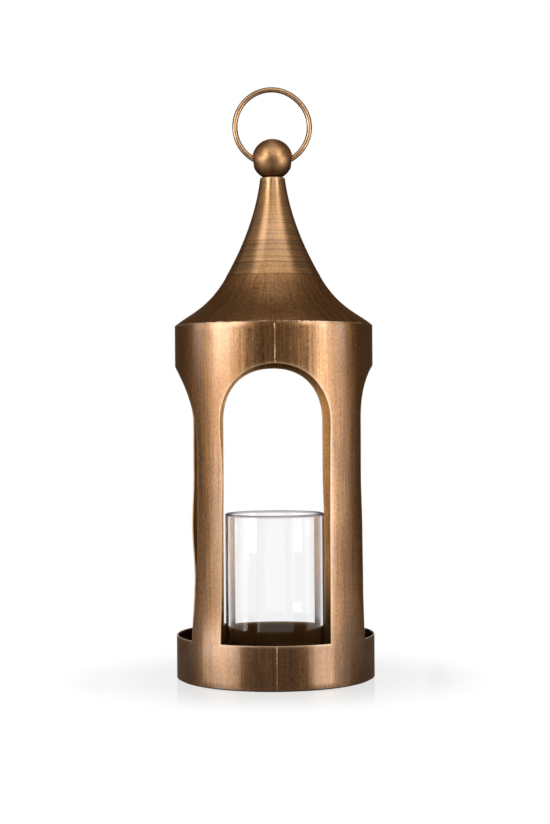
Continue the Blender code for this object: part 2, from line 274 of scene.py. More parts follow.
class Wire:
    """One output of a shader node. Arithmetic on it adds Math nodes."""

    def __init__(self, net: "Net", socket: bpy.types.NodeSocket) -> None:
        """Keeps the output and the net that it belongs to."""
        self.net = net
        self.socket = socket

    def _math(self, operation: str, *values: Any) -> "Wire":
        """Adds one Math node and returns its output."""
        return self.net.node("ShaderNodeMath", {"operation": operation}, dict(enumerate(values)))

    def __add__(self, other: Any) -> "Wire":
        """Sum."""
        return self._math("ADD", self, other)

    __radd__ = __add__

    def __sub__(self, other: Any) -> "Wire":
        """Difference."""
        return self._math("SUBTRACT", self, other)

    def __rsub__(self, other: Any) -> "Wire":
        """Difference, with this output taken from a number."""
        return self._math("SUBTRACT", other, self)

    def __mul__(self, other: Any) -> "Wire":
        """Product."""
        return self._math("MULTIPLY", self, other)

    __rmul__ = __mul__

    def clamped(self, low: float = 0.0, high: float = 1.0) -> "Wire":
        """The value held between two limits."""
        return self.net.node("ShaderNodeClamp", {}, {"Value": self, "Min": low, "Max": high})


class Net:
    """The node tree of one material or of the world."""

    def __init__(self, tree: bpy.types.NodeTree) -> None:
        """Empties the tree."""
        self.tree = tree
        tree.nodes.clear()

    def node(self, kind: str, settings: dict[str, Any], sockets: dict[Any, Any], output: Any = 0) -> Wire:
        """Adds a node.

        Args:
            kind: the node's type.
            settings: its properties, set first.
            sockets: values or wires for its inputs, by name or number.
            output: name or number of the output to return.

        Returns:
            That output.
        """
        made = self.tree.nodes.new(kind)
        for key, value in settings.items():
            setattr(made, key, value)
        for key, value in sockets.items():
            if isinstance(value, Wire):
                self.tree.links.new(value.socket, made.inputs[key])
            else:
                made.inputs[key].default_value = value
        return Wire(self, made.outputs[output] if made.outputs else None)

    def place(self) -> Wire:
        """Object coordinates, in metres."""
        return self.node("ShaderNodeTexCoord", {}, {}, "Object")

    def mark(self, name: str) -> Wire:
        """A named value of the piece's points."""
        return self.node("ShaderNodeAttribute", {"attribute_name": name}, {}, "Fac")

    def wrapped(self, place: Wire, radius: float) -> Wire:
        """The place moved straight out to a cylinder: radius times the unit (x, y), and z.

        Args:
            place: coordinates in metres.
            radius: radius of the cylinder.

        Returns:
            The moved coordinates, on which a pattern of x and y runs straight up any turned wall.
        """
        flat = self.vector("MULTIPLY", place, (1.0, 1.0, 0.0))
        level = self.vector("MULTIPLY", place, (0.0, 0.0, 1.0))
        return self.vector("MULTIPLY_ADD", self.vector("NORMALIZE", flat), (radius,) * 3, level)

    def vector(self, operation: str, *values: Any, output: Any = 0) -> Wire:
        """Adds one Vector Math node and returns its output."""
        return self.node("ShaderNodeVectorMath", {"operation": operation}, dict(enumerate(values)), output)

    def size(self, value: Wire) -> Wire:
        """The value without its sign."""
        return self.node("ShaderNodeMath", {"operation": "ABSOLUTE"}, {0: value})

    def bump(self, height: Wire, depth: float, strength: float = 1.0, over: Wire | None = None) -> Wire:
        """A normal that leans with a height.

        Args:
            height: the height, from 0 to 1.
            depth: depth in metres of its full range.
            strength: share of the lean that is kept.
            over: normal that this one is laid over.

        Returns:
            The normal.
        """
        sockets = {"Height": height, "Distance": depth, "Strength": strength}
        if over is not None:
            sockets["Normal"] = over
        return self.node("ShaderNodeBump", {}, sockets)

    def principled(self, sockets: dict[str, Any]) -> Wire:
        """The shader of a metal, a glass or a matt surface, with its sockets by name."""
        return self.node("ShaderNodeBsdfPrincipled", {}, sockets)

    def glow(self, colour: Any) -> Wire:
        """The shader of a surface that looks the same in any light."""
        return self.node("ShaderNodeEmission", {}, {"Color": colour, "Strength": 1.0})

    def part(self, place: Wire, axis: str) -> Wire:
        """The place's distance along one axis, X, Y or Z."""
        return self.node("ShaderNodeSeparateXYZ", {}, {"Vector": place}, axis)

    def noise(self, place: Wire, scale: float | tuple, detail: float, seed: float) -> Wire:
        """Soft noise from 0 to 1, stretched by its three scales in waves per metre.

        Args:
            place: coordinates in metres.
            scale: waves per metre along X, Y and Z, or one number for all three.
            detail: octaves of finer noise.
            seed: shift that sets this noise apart from others.

        Returns:
            The noise value.
        """
        scale = (scale,) * 3 if isinstance(scale, float) else scale
        sockets = {"Vector": place, "Scale": scale, "Location": (seed, seed, seed)}
        moved = self.node("ShaderNodeMapping", {"vector_type": "POINT"}, sockets)
        return self.node("ShaderNodeTexNoise", {}, {"Vector": moved, "Scale": 1.0, "Detail": detail}, "Fac")

    def between(self, value: Wire, low: float, high: float) -> Wire:
        """The smooth step from 0 at low to 1 at high: 3 t ** 2 - 2 t ** 3 of the share t between them."""
        sockets = {"Value": value, "From Min": low, "From Max": high}
        return self.node("ShaderNodeMapRange", {"interpolation_type": "SMOOTHSTEP"}, sockets)

    def blend(self, share: Any, first: Any, second: Any, way: str = "MIX") -> Wire:
        """One colour blended into another.

        Args:
            share: 0 for the first, 1 for the second.
            first: colour or wire.
            second: colour or wire.
            way: how they blend.

        Returns:
            The blended colour.
        """
        colours = [(*value, 1.0) if isinstance(value, tuple) else value for value in (first, second)]
        settings = {"data_type": "RGBA", "blend_type": way}
        return self.node("ShaderNodeMix", settings, {0: share, 6: colours[0], 7: colours[1]}, 2)

    def output(self, surface: Wire, kind: str = "ShaderNodeOutputMaterial") -> None:
        """Joins a shader to the output of the material or the world."""
        self.node(kind, {}, {"Surface": surface})


# Finishes


class Grain(Enum):
    """Which way the brush or the turning tool ran: waves per metre along X, Y and Z."""

    UPRIGHT = (1.0, 1.0, 0.014)
    TURNED = (0.012, 0.012, 1.0)
    SATIN = (1.0, 1.0, 1.0)


@dataclass(frozen=True)
class Finish:
    """A finish that makes its material once.

    Attributes:
        name: name of the material.
    """

    name: str

    @cache
    def material(self) -> bpy.types.Material:
        """Makes the material on first use.

        Returns:
            The material, the same one each time.
        """
        made = bpy.data.materials.new(self.name)
        made.use_nodes = True
        net = Net(made.node_tree)
        net.output(self.surface(net))
        return made

    def surface(self, net: Net) -> Wire:
        """Builds the shader."""
        raise NotImplementedError


@dataclass(frozen=True)
class Brass(Finish):
    """Antiqued brass under a thin lacquer, brushed or turned.

    Attributes:
        clean: colour where the tone is thin.
        toned: colour where the tone is heavy.
        worn: colour of edges that are rubbed bright.
        inner_shade: colour painted on the unlacquered inner side, as shade.
        unshaded_band: heights between which that painted shade lifts upwards, then those where it sets in
            again.
        edge: tint of what is mirrored at a glancing angle.
        grain: way that the brush marks run.
        fine: brush marks in each metre.
        broad: number of broad marks for each of them.
        roughness: mean roughness.
        stretch: how far reflections spread across the marks.
        turn: turn of the spread, where 0 is round the axis and 0.25 is along it.
        cloud: waves of tone in each metre.
        tone: share of the heavy tone.
        tone_edge: values of the clouds between which the heavy tone sets in.
        contrast: strength of the brush marks' tone.
        fine_weight, broad_weight: parts of the fine and of the broad marks in it.
        streak_limits: least and most brightness that the marks give.
        bite: depth in metres of the brush marks.
        sway: depth in metres of the hand-worked unevenness.
        lacquer: weight of the lacquer.
        lacquer_roughness: its roughness.
        lacquer_index: how strongly it bends light.
        mottle: share of fine speckle among the brush marks.
        rings: strength of the turning tool's chatter lines.
        ring_waves: waves of them in each metre along X, Y and Z.
        ring_edge: values of their noise between which a line begins.
        ring_fade: heights between which the chatter lines die away upwards.
        ring_tone, ring_bite: how much darker and deeper a line is.
        foot_shade: how much darker the brass is painted at its lower end, as shade.
        foot: heights between which that painted shade deepens downwards.
        flank_shade: how much darker a wire is painted on its flanks, along its middle plane, as shade.
        flank: distances from that plane between which that painted shade fades out.
    """

    clean: Colour = (0.395, 0.194, 0.067)
    toned: Colour = (0.208, 0.088, 0.026)
    worn: Colour = (0.80, 0.58, 0.36)
    inner_shade: Colour = (0.09, 0.042, 0.015)
    unshaded_band: tuple[float, float, float, float] = (0.03, 0.10, 0.25, 0.28)
    edge: Colour = (0.55, 0.42, 0.31)
    grain: Grain = Grain.UPRIGHT
    fine: float = 1300.0
    broad: float = 0.22
    roughness: float = 0.32
    stretch: float = 0.0
    turn: float = 0.0
    cloud: float = 26.0
    tone: float = 0.55
    tone_edge: tuple[float, float] = (0.36, 0.66)
    contrast: float = 1.35
    fine_weight: float = 2.0
    broad_weight: float = 0.55
    streak_limits: tuple[float, float] = (0.4, 1.7)
    bite: float = 0.00012
    sway: float = 0.0008
    lacquer: float = 1.0
    lacquer_roughness: float = 0.21
    lacquer_index: float = 1.72
    mottle: float = 0.5
    rings: float = 0.0
    ring_waves: tuple[float, float, float] = (5.0, 5.0, 430.0)
    ring_edge: tuple[float, float] = (0.50, 0.64)
    ring_fade: tuple[float, float] = (0.325, 0.375)
    ring_tone: float = 0.38
    ring_bite: float = 0.3
    foot_shade: float = 0.0
    foot: tuple[float, float] = (0.012, 0.065)
    flank_shade: float = 0.0
    flank: tuple[float, float] = (0.001, 0.0017)

    def marks(self, net: Net, place: Wire, share: float, seed: float, mottle: float) -> Wire:
        """Brush marks with a share of speckle among them: marks (1 - mottle) + speckle mottle.

        Args:
            net: the material's nodes.
            place: coordinates in metres.
            share: number of these marks for each of the finest ones.
            seed: shift that sets them apart from others.
            mottle: share of the speckle.

        Returns:
            The marks, from 0 to 1.
        """
        along = net.wrapped(place, TUBE_RADIUS) if self.grain is Grain.UPRIGHT else place
        scale = tuple(self.fine * share * waves for waves in self.grain.value)
        speckle = net.noise(place, self.fine * share * 0.5, detail=3.0, seed=seed + 1.7)
        return net.noise(along, scale, detail=3.0, seed=seed) * (1.0 - mottle) + speckle * mottle

    def chatter(self, net: Net, place: Wire) -> Wire:
        """Uneven rings that the turning tool left. Upwards they lose four fifths of their strength.

        Args:
            net: the material's nodes.
            place: coordinates in metres.

        Returns:
            Their strength at each place.
        """
        lines = net.noise(place, self.ring_waves, detail=4.0, seed=12.0)
        fade = 1.0 - net.between(net.part(place, "Z"), *self.ring_fade) * 0.8
        return net.between(lines, *self.ring_edge) * fade * self.rings

    def shaded(self, net: Net, place: Wire, streak: Wire) -> Wire:
        """The marks' brightness, with painted shade at the foot of the piece and on the flanks of a wire.

        Each takes it times 1 - shade * (1 - step), where the step runs from 0 to 1 between two
        heights, or between two distances from the wire's middle plane.

        Args:
            net: the material's nodes.
            place: coordinates in metres.
            streak: the marks' brightness.

        Returns:
            The brightness that is left.
        """
        if self.foot_shade:
            streak = streak * (1.0 - self.foot_shade * (1.0 - net.between(net.part(place, "Z"), *self.foot)))
        if self.flank_shade:
            off = net.size(net.part(place, "Y"))
            streak = streak * (1.0 - self.flank_shade * (1.0 - net.between(off, *self.flank)))
        return streak

    def surface(self, net: Net) -> Wire:
        """Builds the shader: tone clouds, brush marks, painted shade at the foot and on a wire's flanks,
        rubbed edges, an unlacquered inner side painted dark as shade, and lacquer.

        Args:
            net: the material's nodes.

        Returns:
            The shader.
        """
        place = net.place()
        wear, inside = net.mark("wear"), net.mark("inside")
        fine = self.marks(net, place, share=1.0, seed=3.1, mottle=self.mottle)
        broad = self.marks(net, place, share=self.broad, seed=7.7, mottle=0.1)
        clouds = net.noise(place, (self.cloud, self.cloud, self.cloud * 0.6), detail=4.0, seed=1.3)
        tone = net.between(clouds * 0.7 + broad * 0.3, *self.tone_edge) * self.tone
        colour = net.blend(tone, self.clean, self.toned)

        # The marks lighten and darken the tone about their mean, and stand up or sink
        mean = (self.fine_weight + self.broad_weight) / 2.0
        swing = fine * self.fine_weight + broad * self.broad_weight - mean
        streak = (swing * self.contrast + 1.0).clamped(*self.streak_limits)
        relief = fine * 0.15 + broad
        if self.rings:
            chatter = self.chatter(net, place)
            streak = streak * (1.0 - chatter * self.ring_tone)
            relief = relief - chatter * self.ring_bite
        # Painted shade at the foot and on a wire's flanks darkens the colour here
        colour = net.blend(1.0, colour, self.shaded(net, place, streak), "MULTIPLY")

        # The inner side is unlacquered and painted dark as shade, but for a band where that painted shade
        # lifts, and the edges are rubbed bright
        height = net.part(place, "Z")
        unshaded_band = net.between(height, *self.unshaded_band[:2]) * (1.0 - net.between(height, *self.unshaded_band[2:]))
        colour = net.blend(inside * (0.85 - unshaded_band * 0.8), colour, self.inner_shade)
        colour = net.blend((wear * (0.75 + broad * 0.5)).clamped() * 0.8, colour, self.worn)

        # Marks, tone, a raw surface and rubbing each add their part to the roughness
        rough = self.roughness - 0.15 + fine * 0.16 + broad * 0.1 + tone * 0.08 + inside * 0.08 + wear * 0.2

        # The brush marks lie over the slow swell of sheet that was worked by hand
        swell = net.noise(place, (34.0, 34.0, 15.0), detail=2.0, seed=5.2)
        sockets = {
            "Base Color": colour,
            "Metallic": 1.0,
            "Roughness": rough.clamped(),
            "Specular Tint": (*self.edge, 1.0),
            "Normal": net.bump(relief, self.bite, over=net.bump(swell, self.sway)),
            "Anisotropic": self.stretch,
            "Anisotropic Rotation": self.turn,
            "Coat Weight": (1.0 - inside) * self.lacquer,
            "Coat Roughness": self.lacquer_roughness,
            "Coat IOR": self.lacquer_index,
        }
        return net.principled(sockets)


@dataclass(frozen=True)
class Solder(Finish):
    """Bright soft solder, smeared and partly toned.

    Attributes:
        bright: colour where it is rubbed.
        dull: colour where it has toned.
        bite: depth in metres of its unevenness.
    """

    bright: Colour = (0.86, 0.68, 0.48)
    dull: Colour = (0.30, 0.17, 0.085)
    bite: float = 0.00012

    def surface(self, net: Net) -> Wire:
        """Builds the shader: spots of bright metal in toned metal.

        Args:
            net: the material's nodes.

        Returns:
            The shader.
        """
        place = net.place()
        spots = net.noise(place, (420.0, 420.0, 300.0), detail=3.0, seed=2.4)
        broad = net.noise(place, (70.0, 70.0, 40.0), detail=3.0, seed=8.8)
        smear = net.between(broad * 0.6 + spots * 0.4, 0.42, 0.58)
        sockets = {
            "Base Color": net.blend(smear, self.dull, self.bright),
            "Metallic": 1.0,
            "Roughness": 0.46 - smear * 0.14,
            "Normal": net.bump(spots, self.bite, strength=0.7),
        }
        return net.principled(sockets)


@dataclass(frozen=True)
class Steel(Finish):
    """Plain turned steel with light oil stains.

    Attributes:
        clean: colour of the plain steel.
        oiled: colour of the stains.
        bite: depth in metres of the turning rings.
    """

    clean: Colour = (0.56, 0.55, 0.53)
    oiled: Colour = (0.38, 0.33, 0.27)
    bite: float = 0.00002

    def surface(self, net: Net) -> Wire:
        """Builds the shader: turning rings and faint stains.

        Args:
            net: the material's nodes.

        Returns:
            The shader.
        """
        place = net.place()
        rings = net.noise(place, (60.0, 60.0, 2500.0), detail=2.0, seed=1.0)
        stain = net.between(net.noise(place, 320.0, detail=3.0, seed=4.0), 0.4, 0.7)
        sockets = {
            "Base Color": net.blend(stain, self.clean, self.oiled),
            "Metallic": 1.0,
            "Roughness": 0.3 + rings * 0.2 + stain * 0.1,
            "Normal": net.bump(rings, self.bite, strength=0.5),
        }
        return net.principled(sockets)


@dataclass(frozen=True)
class Felt(Finish):
    """Black pressed felt with pale dust in its nap.

    Attributes:
        wool: colour of the felt.
        dust: colour of the dust.
        pile: depth in metres of the nap.
    """

    wool: Colour = (0.010, 0.010, 0.011)
    dust: Colour = (0.045, 0.043, 0.042)
    pile: float = 0.0003

    def surface(self, net: Net) -> Wire:
        """Builds the shader: matted fibres and a little dust.

        Args:
            net: the material's nodes.

        Returns:
            The shader.
        """
        place = net.place()
        nap = net.noise(place, 1900.0, detail=4.0, seed=6.0)
        tufts = net.noise(place, 240.0, detail=3.0, seed=2.0)
        dusty = net.between(nap * 0.6 + tufts * 0.4, 0.5, 0.8)
        sockets = {
            "Base Color": net.blend(dusty, self.wool, self.dust),
            "Roughness": 0.97,
            "Normal": net.bump(nap * 0.5 + tufts * 0.5, self.pile),
            "Sheen Weight": 0.25,
        }
        return net.principled(sockets)


@dataclass(frozen=True)
class ClearGlass(Finish):
    """Clear glass with faint draw waves and a lip that is rough from grinding and painted grey as shade.

    Attributes:
        body: colour of the clear wall.
        lip: grey painted on the lip as shade.
        index: how strongly the glass bends light.
        draw: depth in metres of its waves.
    """

    body: Colour = (0.985, 0.982, 0.988)
    lip: Colour = (0.52, 0.48, 0.50)
    index: float = 1.42
    draw: float = 0.0001

    def surface(self, net: Net) -> Wire:
        """Builds the shader: glass whose lip is rough from grinding and painted grey as shade, over slight
        waves.

        Args:
            net: the material's nodes.

        Returns:
            The shader.
        """
        place = net.place()
        waves = net.noise(place, (38.0, 38.0, 9.0), detail=2.0, seed=3.0)
        # The lip's mask: grinding makes it rough, and grey is painted on it as shade
        grinding_and_shade = net.mark("wear")
        grit = net.noise(place, 2600.0, detail=2.0, seed=5.0)
        sockets = {
            "Base Color": net.blend(grinding_and_shade, self.body, self.lip),
            "Roughness": (grinding_and_shade * (0.3 + grit * 0.25)).clamped(),
            "Normal": net.bump(waves, self.draw, strength=0.5),
            "IOR": self.index,
            "Transmission Weight": 1.0,
        }
        return net.principled(sockets)


# The tube's lowest few centimetres are painted darker, as shade.
SHEET_BRASS = Brass("brushed_sheet_brass", foot_shade=0.3)
# The floor deep inside the tube is painted darker than the sheet, as shade.
SHADED_FLOOR_BRASS = Brass(
    "satin_sheet_brass",
    clean=(0.19, 0.092, 0.034),
    toned=(0.11, 0.050, 0.018),
    grain=Grain.SATIN,
    fine=420.0,
    roughness=0.42,
    lacquer=0.1,
)
FLARE_BRASS = Brass(
    "dark_spun_brass",
    clean=(0.35, 0.172, 0.060),
    toned=(0.21, 0.095, 0.031),
    fine=1100.0,
    roughness=0.42,
    lacquer=0.35,
    lacquer_roughness=0.35,
    mottle=0.6,
    contrast=1.5,
)
SPIRE_BRASS = Brass(
    "golden_spun_brass",
    clean=(0.49, 0.258, 0.092),
    toned=(0.31, 0.146, 0.046),
    grain=Grain.TURNED,
    fine=1500.0,
    stretch=0.25,
    turn=0.25,
    roughness=0.36,
    lacquer=0.8,
    lacquer_roughness=0.24,
    mottle=0.4,
    contrast=1.3,
    rings=1.0,
)
# The ball's lower half is painted darker, as shade.
BALL_BRASS = Brass(
    "satin_ball_brass",
    clean=(0.50, 0.275, 0.125),
    toned=(0.15, 0.070, 0.028),
    grain=Grain.TURNED,
    fine=1900.0,
    stretch=0.2,
    turn=0.25,
    roughness=0.42,
    lacquer=0.2,
    lacquer_roughness=0.42,
    tone=0.3,
    contrast=0.6,
    foot_shade=0.94,
    foot=(0.374, 0.394),
    edge=(0.25, 0.15, 0.08),
    bite=0.00003,
    sway=0.0,
)
# The wire's flanks are painted darker, as shade.
RING_BRASS = Brass(
    "shaded_wire_brass",
    clean=(0.50, 0.295, 0.16),
    toned=(0.26, 0.13, 0.06),
    grain=Grain.SATIN,
    fine=350.0,
    roughness=0.3,
    edge=(0.10, 0.05, 0.02),
    flank_shade=0.82,
    lacquer=0.15,
    mottle=0.0,
    tone=0.15,
    contrast=0.12,
    bite=0.00002,
    sway=0.00004,
)
SOLDER = Solder("soft_solder")
STEEL = Steel("turned_steel")
FELT = Felt("pressed_felt")
GLASS = ClearGlass("drawn_glass")


# The lantern


@dataclass(frozen=True)
class Jamb:
    """One side of a hand-cut window, measured along the flat sheet.

    Attributes:
        strays: how far the cut strays outwards at the sill, three places above it and the spring.
        rise: height of the arch above its spring.
        fullness: 2 for a round arch, more for a squarer one.
    """

    strays: tuple[float, ...] = (0.0, 0.0, 0.0, 0.0, 0.0)
    rise: float = 42.5 * MM
    fullness: float = 2.0


@dataclass
class SheetTube:
    """The rolled sheet with its four arched windows, and the solder along its seam.

    Attributes:
        radius: outer radius.
        gauge: thickness of the sheet.
        foot: height of the lower edge.
        top: height of the upper edge.
        sill: height of the windows' sills.
        crown: height of the windows' crowns.
        half_width: half the width of a window along the sheet.
        edge_round: rounding of every cut edge.
        wear_reach: how far from a cut edge its rubbed brightness fades.
        windows: the two sides of each window, from the front round towards +X.
        sill_steps, jamb_steps, arch_steps: steps along each stretch of a window's half outline.
        turn_step: step of the arch whose ruling runs to the sheet's upper corner.
        wall_steps: steps from a cut edge to the middle of a post.
        wall_power: power that draws those steps together at the cut edge.
        solder_steps: steps along a stretch of solder.
        solder_end: length over which its ends taper.
        solder_wander, solder_sunk: how far it strays to the sides, and how deep its middle lies.
        solder_wide, solder_high: its half width and half height, each with how far they vary.
    """

    radius: float = TUBE_RADIUS
    gauge: float = 1.0 * MM
    foot: float = 1.0 * MM
    top: float = 266.0 * MM
    sill: float = 33.0 * MM
    crown: float = 236.0 * MM
    half_width: float = 42.5 * MM
    edge_round: float = 0.2 * MM
    wear_reach: float = 0.7 * MM
    windows: tuple[tuple[Jamb, Jamb], ...] = (
        (
            Jamb((0.4 * MM, -0.7 * MM, -1.3 * MM, -2.3 * MM, -0.2 * MM)),
            Jamb((-0.9 * MM, -0.9 * MM, -0.9 * MM, -0.6 * MM, 0.0)),
        ),
        (Jamb((-4.0 * MM, -2.4 * MM, -1.8 * MM, -0.1 * MM, -0.4 * MM), fullness=2.4), Jamb()),
        (
            Jamb((0.0, 0.0, 0.0, -1.0 * MM, -1.0 * MM), fullness=2.15),
            Jamb((0.6 * MM, 0.6 * MM, 0.6 * MM, 0.2 * MM, 0.2 * MM), fullness=2.15),
        ),
        (
            Jamb((-2.3 * MM, 0.8 * MM, -2.3 * MM, -0.1 * MM, -0.1 * MM)),
            Jamb((2.3 * MM, 6.8 * MM, 10.1 * MM, 10.5 * MM, 10.1 * MM), rise=60.0 * MM),
        ),
    )
    sill_steps: int = 26
    jamb_steps: int = 52
    arch_steps: int = 44
    turn_step: int = 24
    wall_steps: int = 12
    wall_power: float = 1.6
    solder_steps: int = 69
    solder_end: float = 1.2 * MM
    solder_wander: float = 0.16 * MM
    solder_sunk: float = 0.04 * MM
    solder_wide: tuple[float, float] = (0.36 * MM, 0.12 * MM)
    solder_high: tuple[float, float] = (0.15 * MM, 0.04 * MM)

    def cut_edge(self, jamb: Jamb) -> Curve:
        """Half a window's outline from the middle of the sill to the crown.

        The jamb eases by half cosines between the strays, and the arch is a superellipse:
        across = cos(a) ** (2 / fullness) and up = sin(a) ** (2 / fullness).

        Args:
            jamb: the side of the window.

        Returns:
            Points as (distance from the centre line, height).
        """
        spans = self.half_width + np.asarray(jamb.strays)
        spring = self.crown - jamb.rise
        share = np.arange(self.jamb_steps) / self.jamb_steps
        step = np.floor(share * (len(spans) - 1)).astype(int)
        ease = (1.0 - np.cos(math.pi * (share * (len(spans) - 1) - step))) / 2.0
        straight = np.column_stack((spans[step] + (spans[step + 1] - spans[step]) * ease, share))
        straight[:, 1] = self.sill + (spring - self.sill) * share
        angles = np.linspace(0.0, math.pi / 2.0, self.arch_steps + 1)
        power = 2.0 / jamb.fullness
        across = spans[-1] * np.clip(np.cos(angles), 0.0, 1.0) ** power
        across[-1] = 0.0
        arch = np.column_stack((across, spring + jamb.rise * np.sin(angles) ** power))
        sill = np.linspace((0.0, self.sill), (spans[0], self.sill), self.sill_steps, endpoint=False)
        return np.concatenate((sill, straight, arch))

    def far_edge(self) -> Curve:
        """The line opposite a half window: along the foot, up the middle of the post, along the top.

        Returns:
            Points that pair with those of the cut edge, held back by the rounding of the edges.
        """
        post = math.tau * self.radius / len(self.windows) / 2.0
        low, high = self.foot + self.edge_round, self.top - self.edge_round
        climb = self.jamb_steps + self.turn_step
        along_foot = np.linspace((0.0, low), (post, low), self.sill_steps, endpoint=False)
        up_post = np.linspace((post, low), (post, high), climb, endpoint=False)
        along_top = np.linspace((post, high), (0.0, high), self.arch_steps - self.turn_step + 1)
        return np.concatenate((along_foot, up_post, along_top))

    def edge_section(self) -> tuple[np.ndarray, np.ndarray]:
        """Section over a cut edge: a quarter round on each side of the sheet's thickness.

        Returns:
            Distances from the edge into the sheet, and depths below the outer face.
        """
        angles = np.radians(np.linspace(0.0, 90.0, ROUND_STEPS + 1))
        inset = self.edge_round * (1.0 - np.sin(angles))
        depth = self.edge_round * (1.0 - np.cos(angles))
        return np.concatenate((inset, inset[::-1])), np.concatenate((depth, self.gauge - depth[::-1]))

    def rolled(self, along: np.ndarray, height: np.ndarray, depth: np.ndarray) -> Grid:
        """Rolls the flat sheet: the angle is the distance along it divided by its outer radius.

        Args:
            along: distance round the sheet from the front seam.
            height: height.
            depth: depth below the outer face.

        Returns:
            The rolled points.
        """
        along, height, depth = np.broadcast_arrays(along, height, depth)
        angle, radius = along / self.radius, self.radius - depth
        return np.stack((radius * np.sin(angle), -radius * np.cos(angle), height), axis=-1)

    def tube(self) -> bpy.types.Object:
        """The whole sheet, made of eight patches that run from a cut edge to the middle of a post.

        A patch joins each point of half a window's outline to its partner on the far edge, goes
        over the cut edge and comes back on the inner face. Strips round off the foot and the top.

        Returns:
            The piece.
        """
        shell = Shell()
        inset, depth = self.edge_section()
        share = np.linspace(1.0, 0.0, self.wall_steps + 1)[:-1] ** self.wall_power
        far = self.far_edge()
        foot = slice(0, self.sill_steps + 1)
        top = slice(self.sill_steps + self.jamb_steps + self.turn_step, None)
        for number, window in enumerate(self.windows):
            centre = math.tau * self.radius * number / len(self.windows)
            for side, jamb in zip((-1.0, 1.0), window):
                near = self.cut_edge(jamb)
                reach = np.linalg.norm(far - near, axis=1)[:, None]
                way = (far - near) / reach
                wall = self.edge_round + (reach - self.edge_round) * share
                rim = np.broadcast_to(inset, (len(near), len(inset)))
                into = np.hstack((wall, rim, wall[:, ::-1]))
                below = np.concatenate((np.zeros(len(share)), depth, np.full(len(share), self.gauge)))
                across = near[:, :1] + way[:, :1] * into
                height = near[:, 1:] + way[:, 1:] * into
                wear = np.exp(-into / self.wear_reach)
                grid = self.rolled(centre + side * across, height, below)
                shell.add(grid, wear=wear, inside=below / self.gauge)
                for stretch, edge, outward in ((foot, self.foot, 1.0), (top, self.top, -1.0)):
                    level = edge + outward * inset
                    strip = self.rolled(centre + side * far[stretch, :1], level, depth)
                    shell.add(strip, inside=depth / self.gauge)
        return shell.piece("sheet_tube", SHEET_BRASS)

    def seam(self, name: str, low: float, high: float, seed: int) -> bpy.types.Object:
        """Solder that stands slightly proud of the seam, in one stretch.

        Args:
            name: name of the piece.
            low: height of its lower end.
            high: height of its upper end.
            seed: seed of its unevenness.

        Returns:
            The piece.
        """
        height = np.linspace(low, high, self.solder_steps + 1)
        ends = np.sqrt(np.clip(np.minimum(height - low, high - height) / self.solder_end, 0.0, 1.0))
        wander = self.solder_wander * ripple(height, (45.0, 130.0, 210.0), seed)
        path = np.column_stack((wander, np.full(len(height), self.solder_sunk - self.radius), height))
        side = np.tile((1.0, 0.0, 0.0), (len(height), 1))
        out = np.tile((0.0, -1.0, 0.0), (len(height), 1))
        (half, half_varies), (rise, rise_varies) = self.solder_wide, self.solder_high
        wide = (half + half_varies * ripple(height, (160.0, 330.0, 610.0), seed + 1)) * ends
        high_up = (rise + rise_varies * ripple(height, (210.0, 450.0), seed + 2)) * ends
        return Shell().add(bead(path, side, out, wide, high_up), round_columns=True).piece(name, SOLDER)

    def build(self) -> list[bpy.types.Object]:
        """Makes the tube and the two stretches of solder, and sets them on the lantern.

        Returns:
            The pieces made.
        """
        tube = self.tube()
        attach(tube, "lantern")
        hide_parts("body_tube")
        pieces = [tube]
        reach = self.edge_round
        for name, low, high, seed in (
            ("seam_solder_collar", self.crown + reach, self.top - reach, 11),
            ("seam_solder_base", self.foot + reach, self.sill - reach, 23),
        ):
            strip = self.seam(name, low, high, seed)
            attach(strip, "lantern")
            pieces.append(strip)
        return pieces


@dataclass
class Underside:
    """The floor that is soldered inside the tube's foot, and the felt glued below it.

    Attributes:
        floor_radius: radius of the floor.
        floor_top: height of its upper face.
        floor_thickness: its thickness.
        edge_round: rounding of its edge.
        felt_radius: radius of the felt.
        felt_thickness: its thickness.
        face_steps: steps from the middle of a face to its edge.
    """

    floor_radius: float = TUBE_FIT
    floor_top: float = 3.0 * MM
    floor_thickness: float = 1.2 * MM
    edge_round: float = 0.25 * MM
    felt_radius: float = 73.1 * MM
    felt_thickness: float = 1.5 * MM
    face_steps: int = 12

    def disc(self, name: str, radius: float, low: float, high: float, finish: Finish) -> bpy.types.Object:
        """A round plate with rounded edges.

        Args:
            name: name of the piece.
            radius: its radius.
            low: height of its underside.
            high: height of its upper face.
            finish: what it is finished in.

        Returns:
            The piece.
        """
        edge = self.edge_round
        inner = radius - edge
        outline = np.concatenate(
            (
                run((0.0, high), (inner, high), steps=self.face_steps),
                arc((inner, high - edge), edge, 90.0, 0.0, ROUND_STEPS)[1:],
                arc((inner, low + edge), edge, 0.0, -90.0, ROUND_STEPS),
                run((inner, low), (0.0, low), steps=self.face_steps)[1:],
            )
        )
        return Shell().add(turned(outline), round_columns=True).piece(name, finish)

    def build(self) -> list[bpy.types.Object]:
        """Makes the floor and the felt, and sets them on the lantern.

        Returns:
            The pieces made.
        """
        under = self.floor_top - self.floor_thickness
        floor = self.disc("floor_disc", self.floor_radius, under, self.floor_top, SHADED_FLOOR_BRASS)
        felt = self.disc("felt_disc", self.felt_radius, 0.0, self.felt_thickness, FELT)
        for piece, node, slot in ((floor, "floor_plate", "floor_brass"), (felt, "base_felt", "black_felt")):
            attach(piece, "lantern")
            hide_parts(node)
        return [floor, felt]


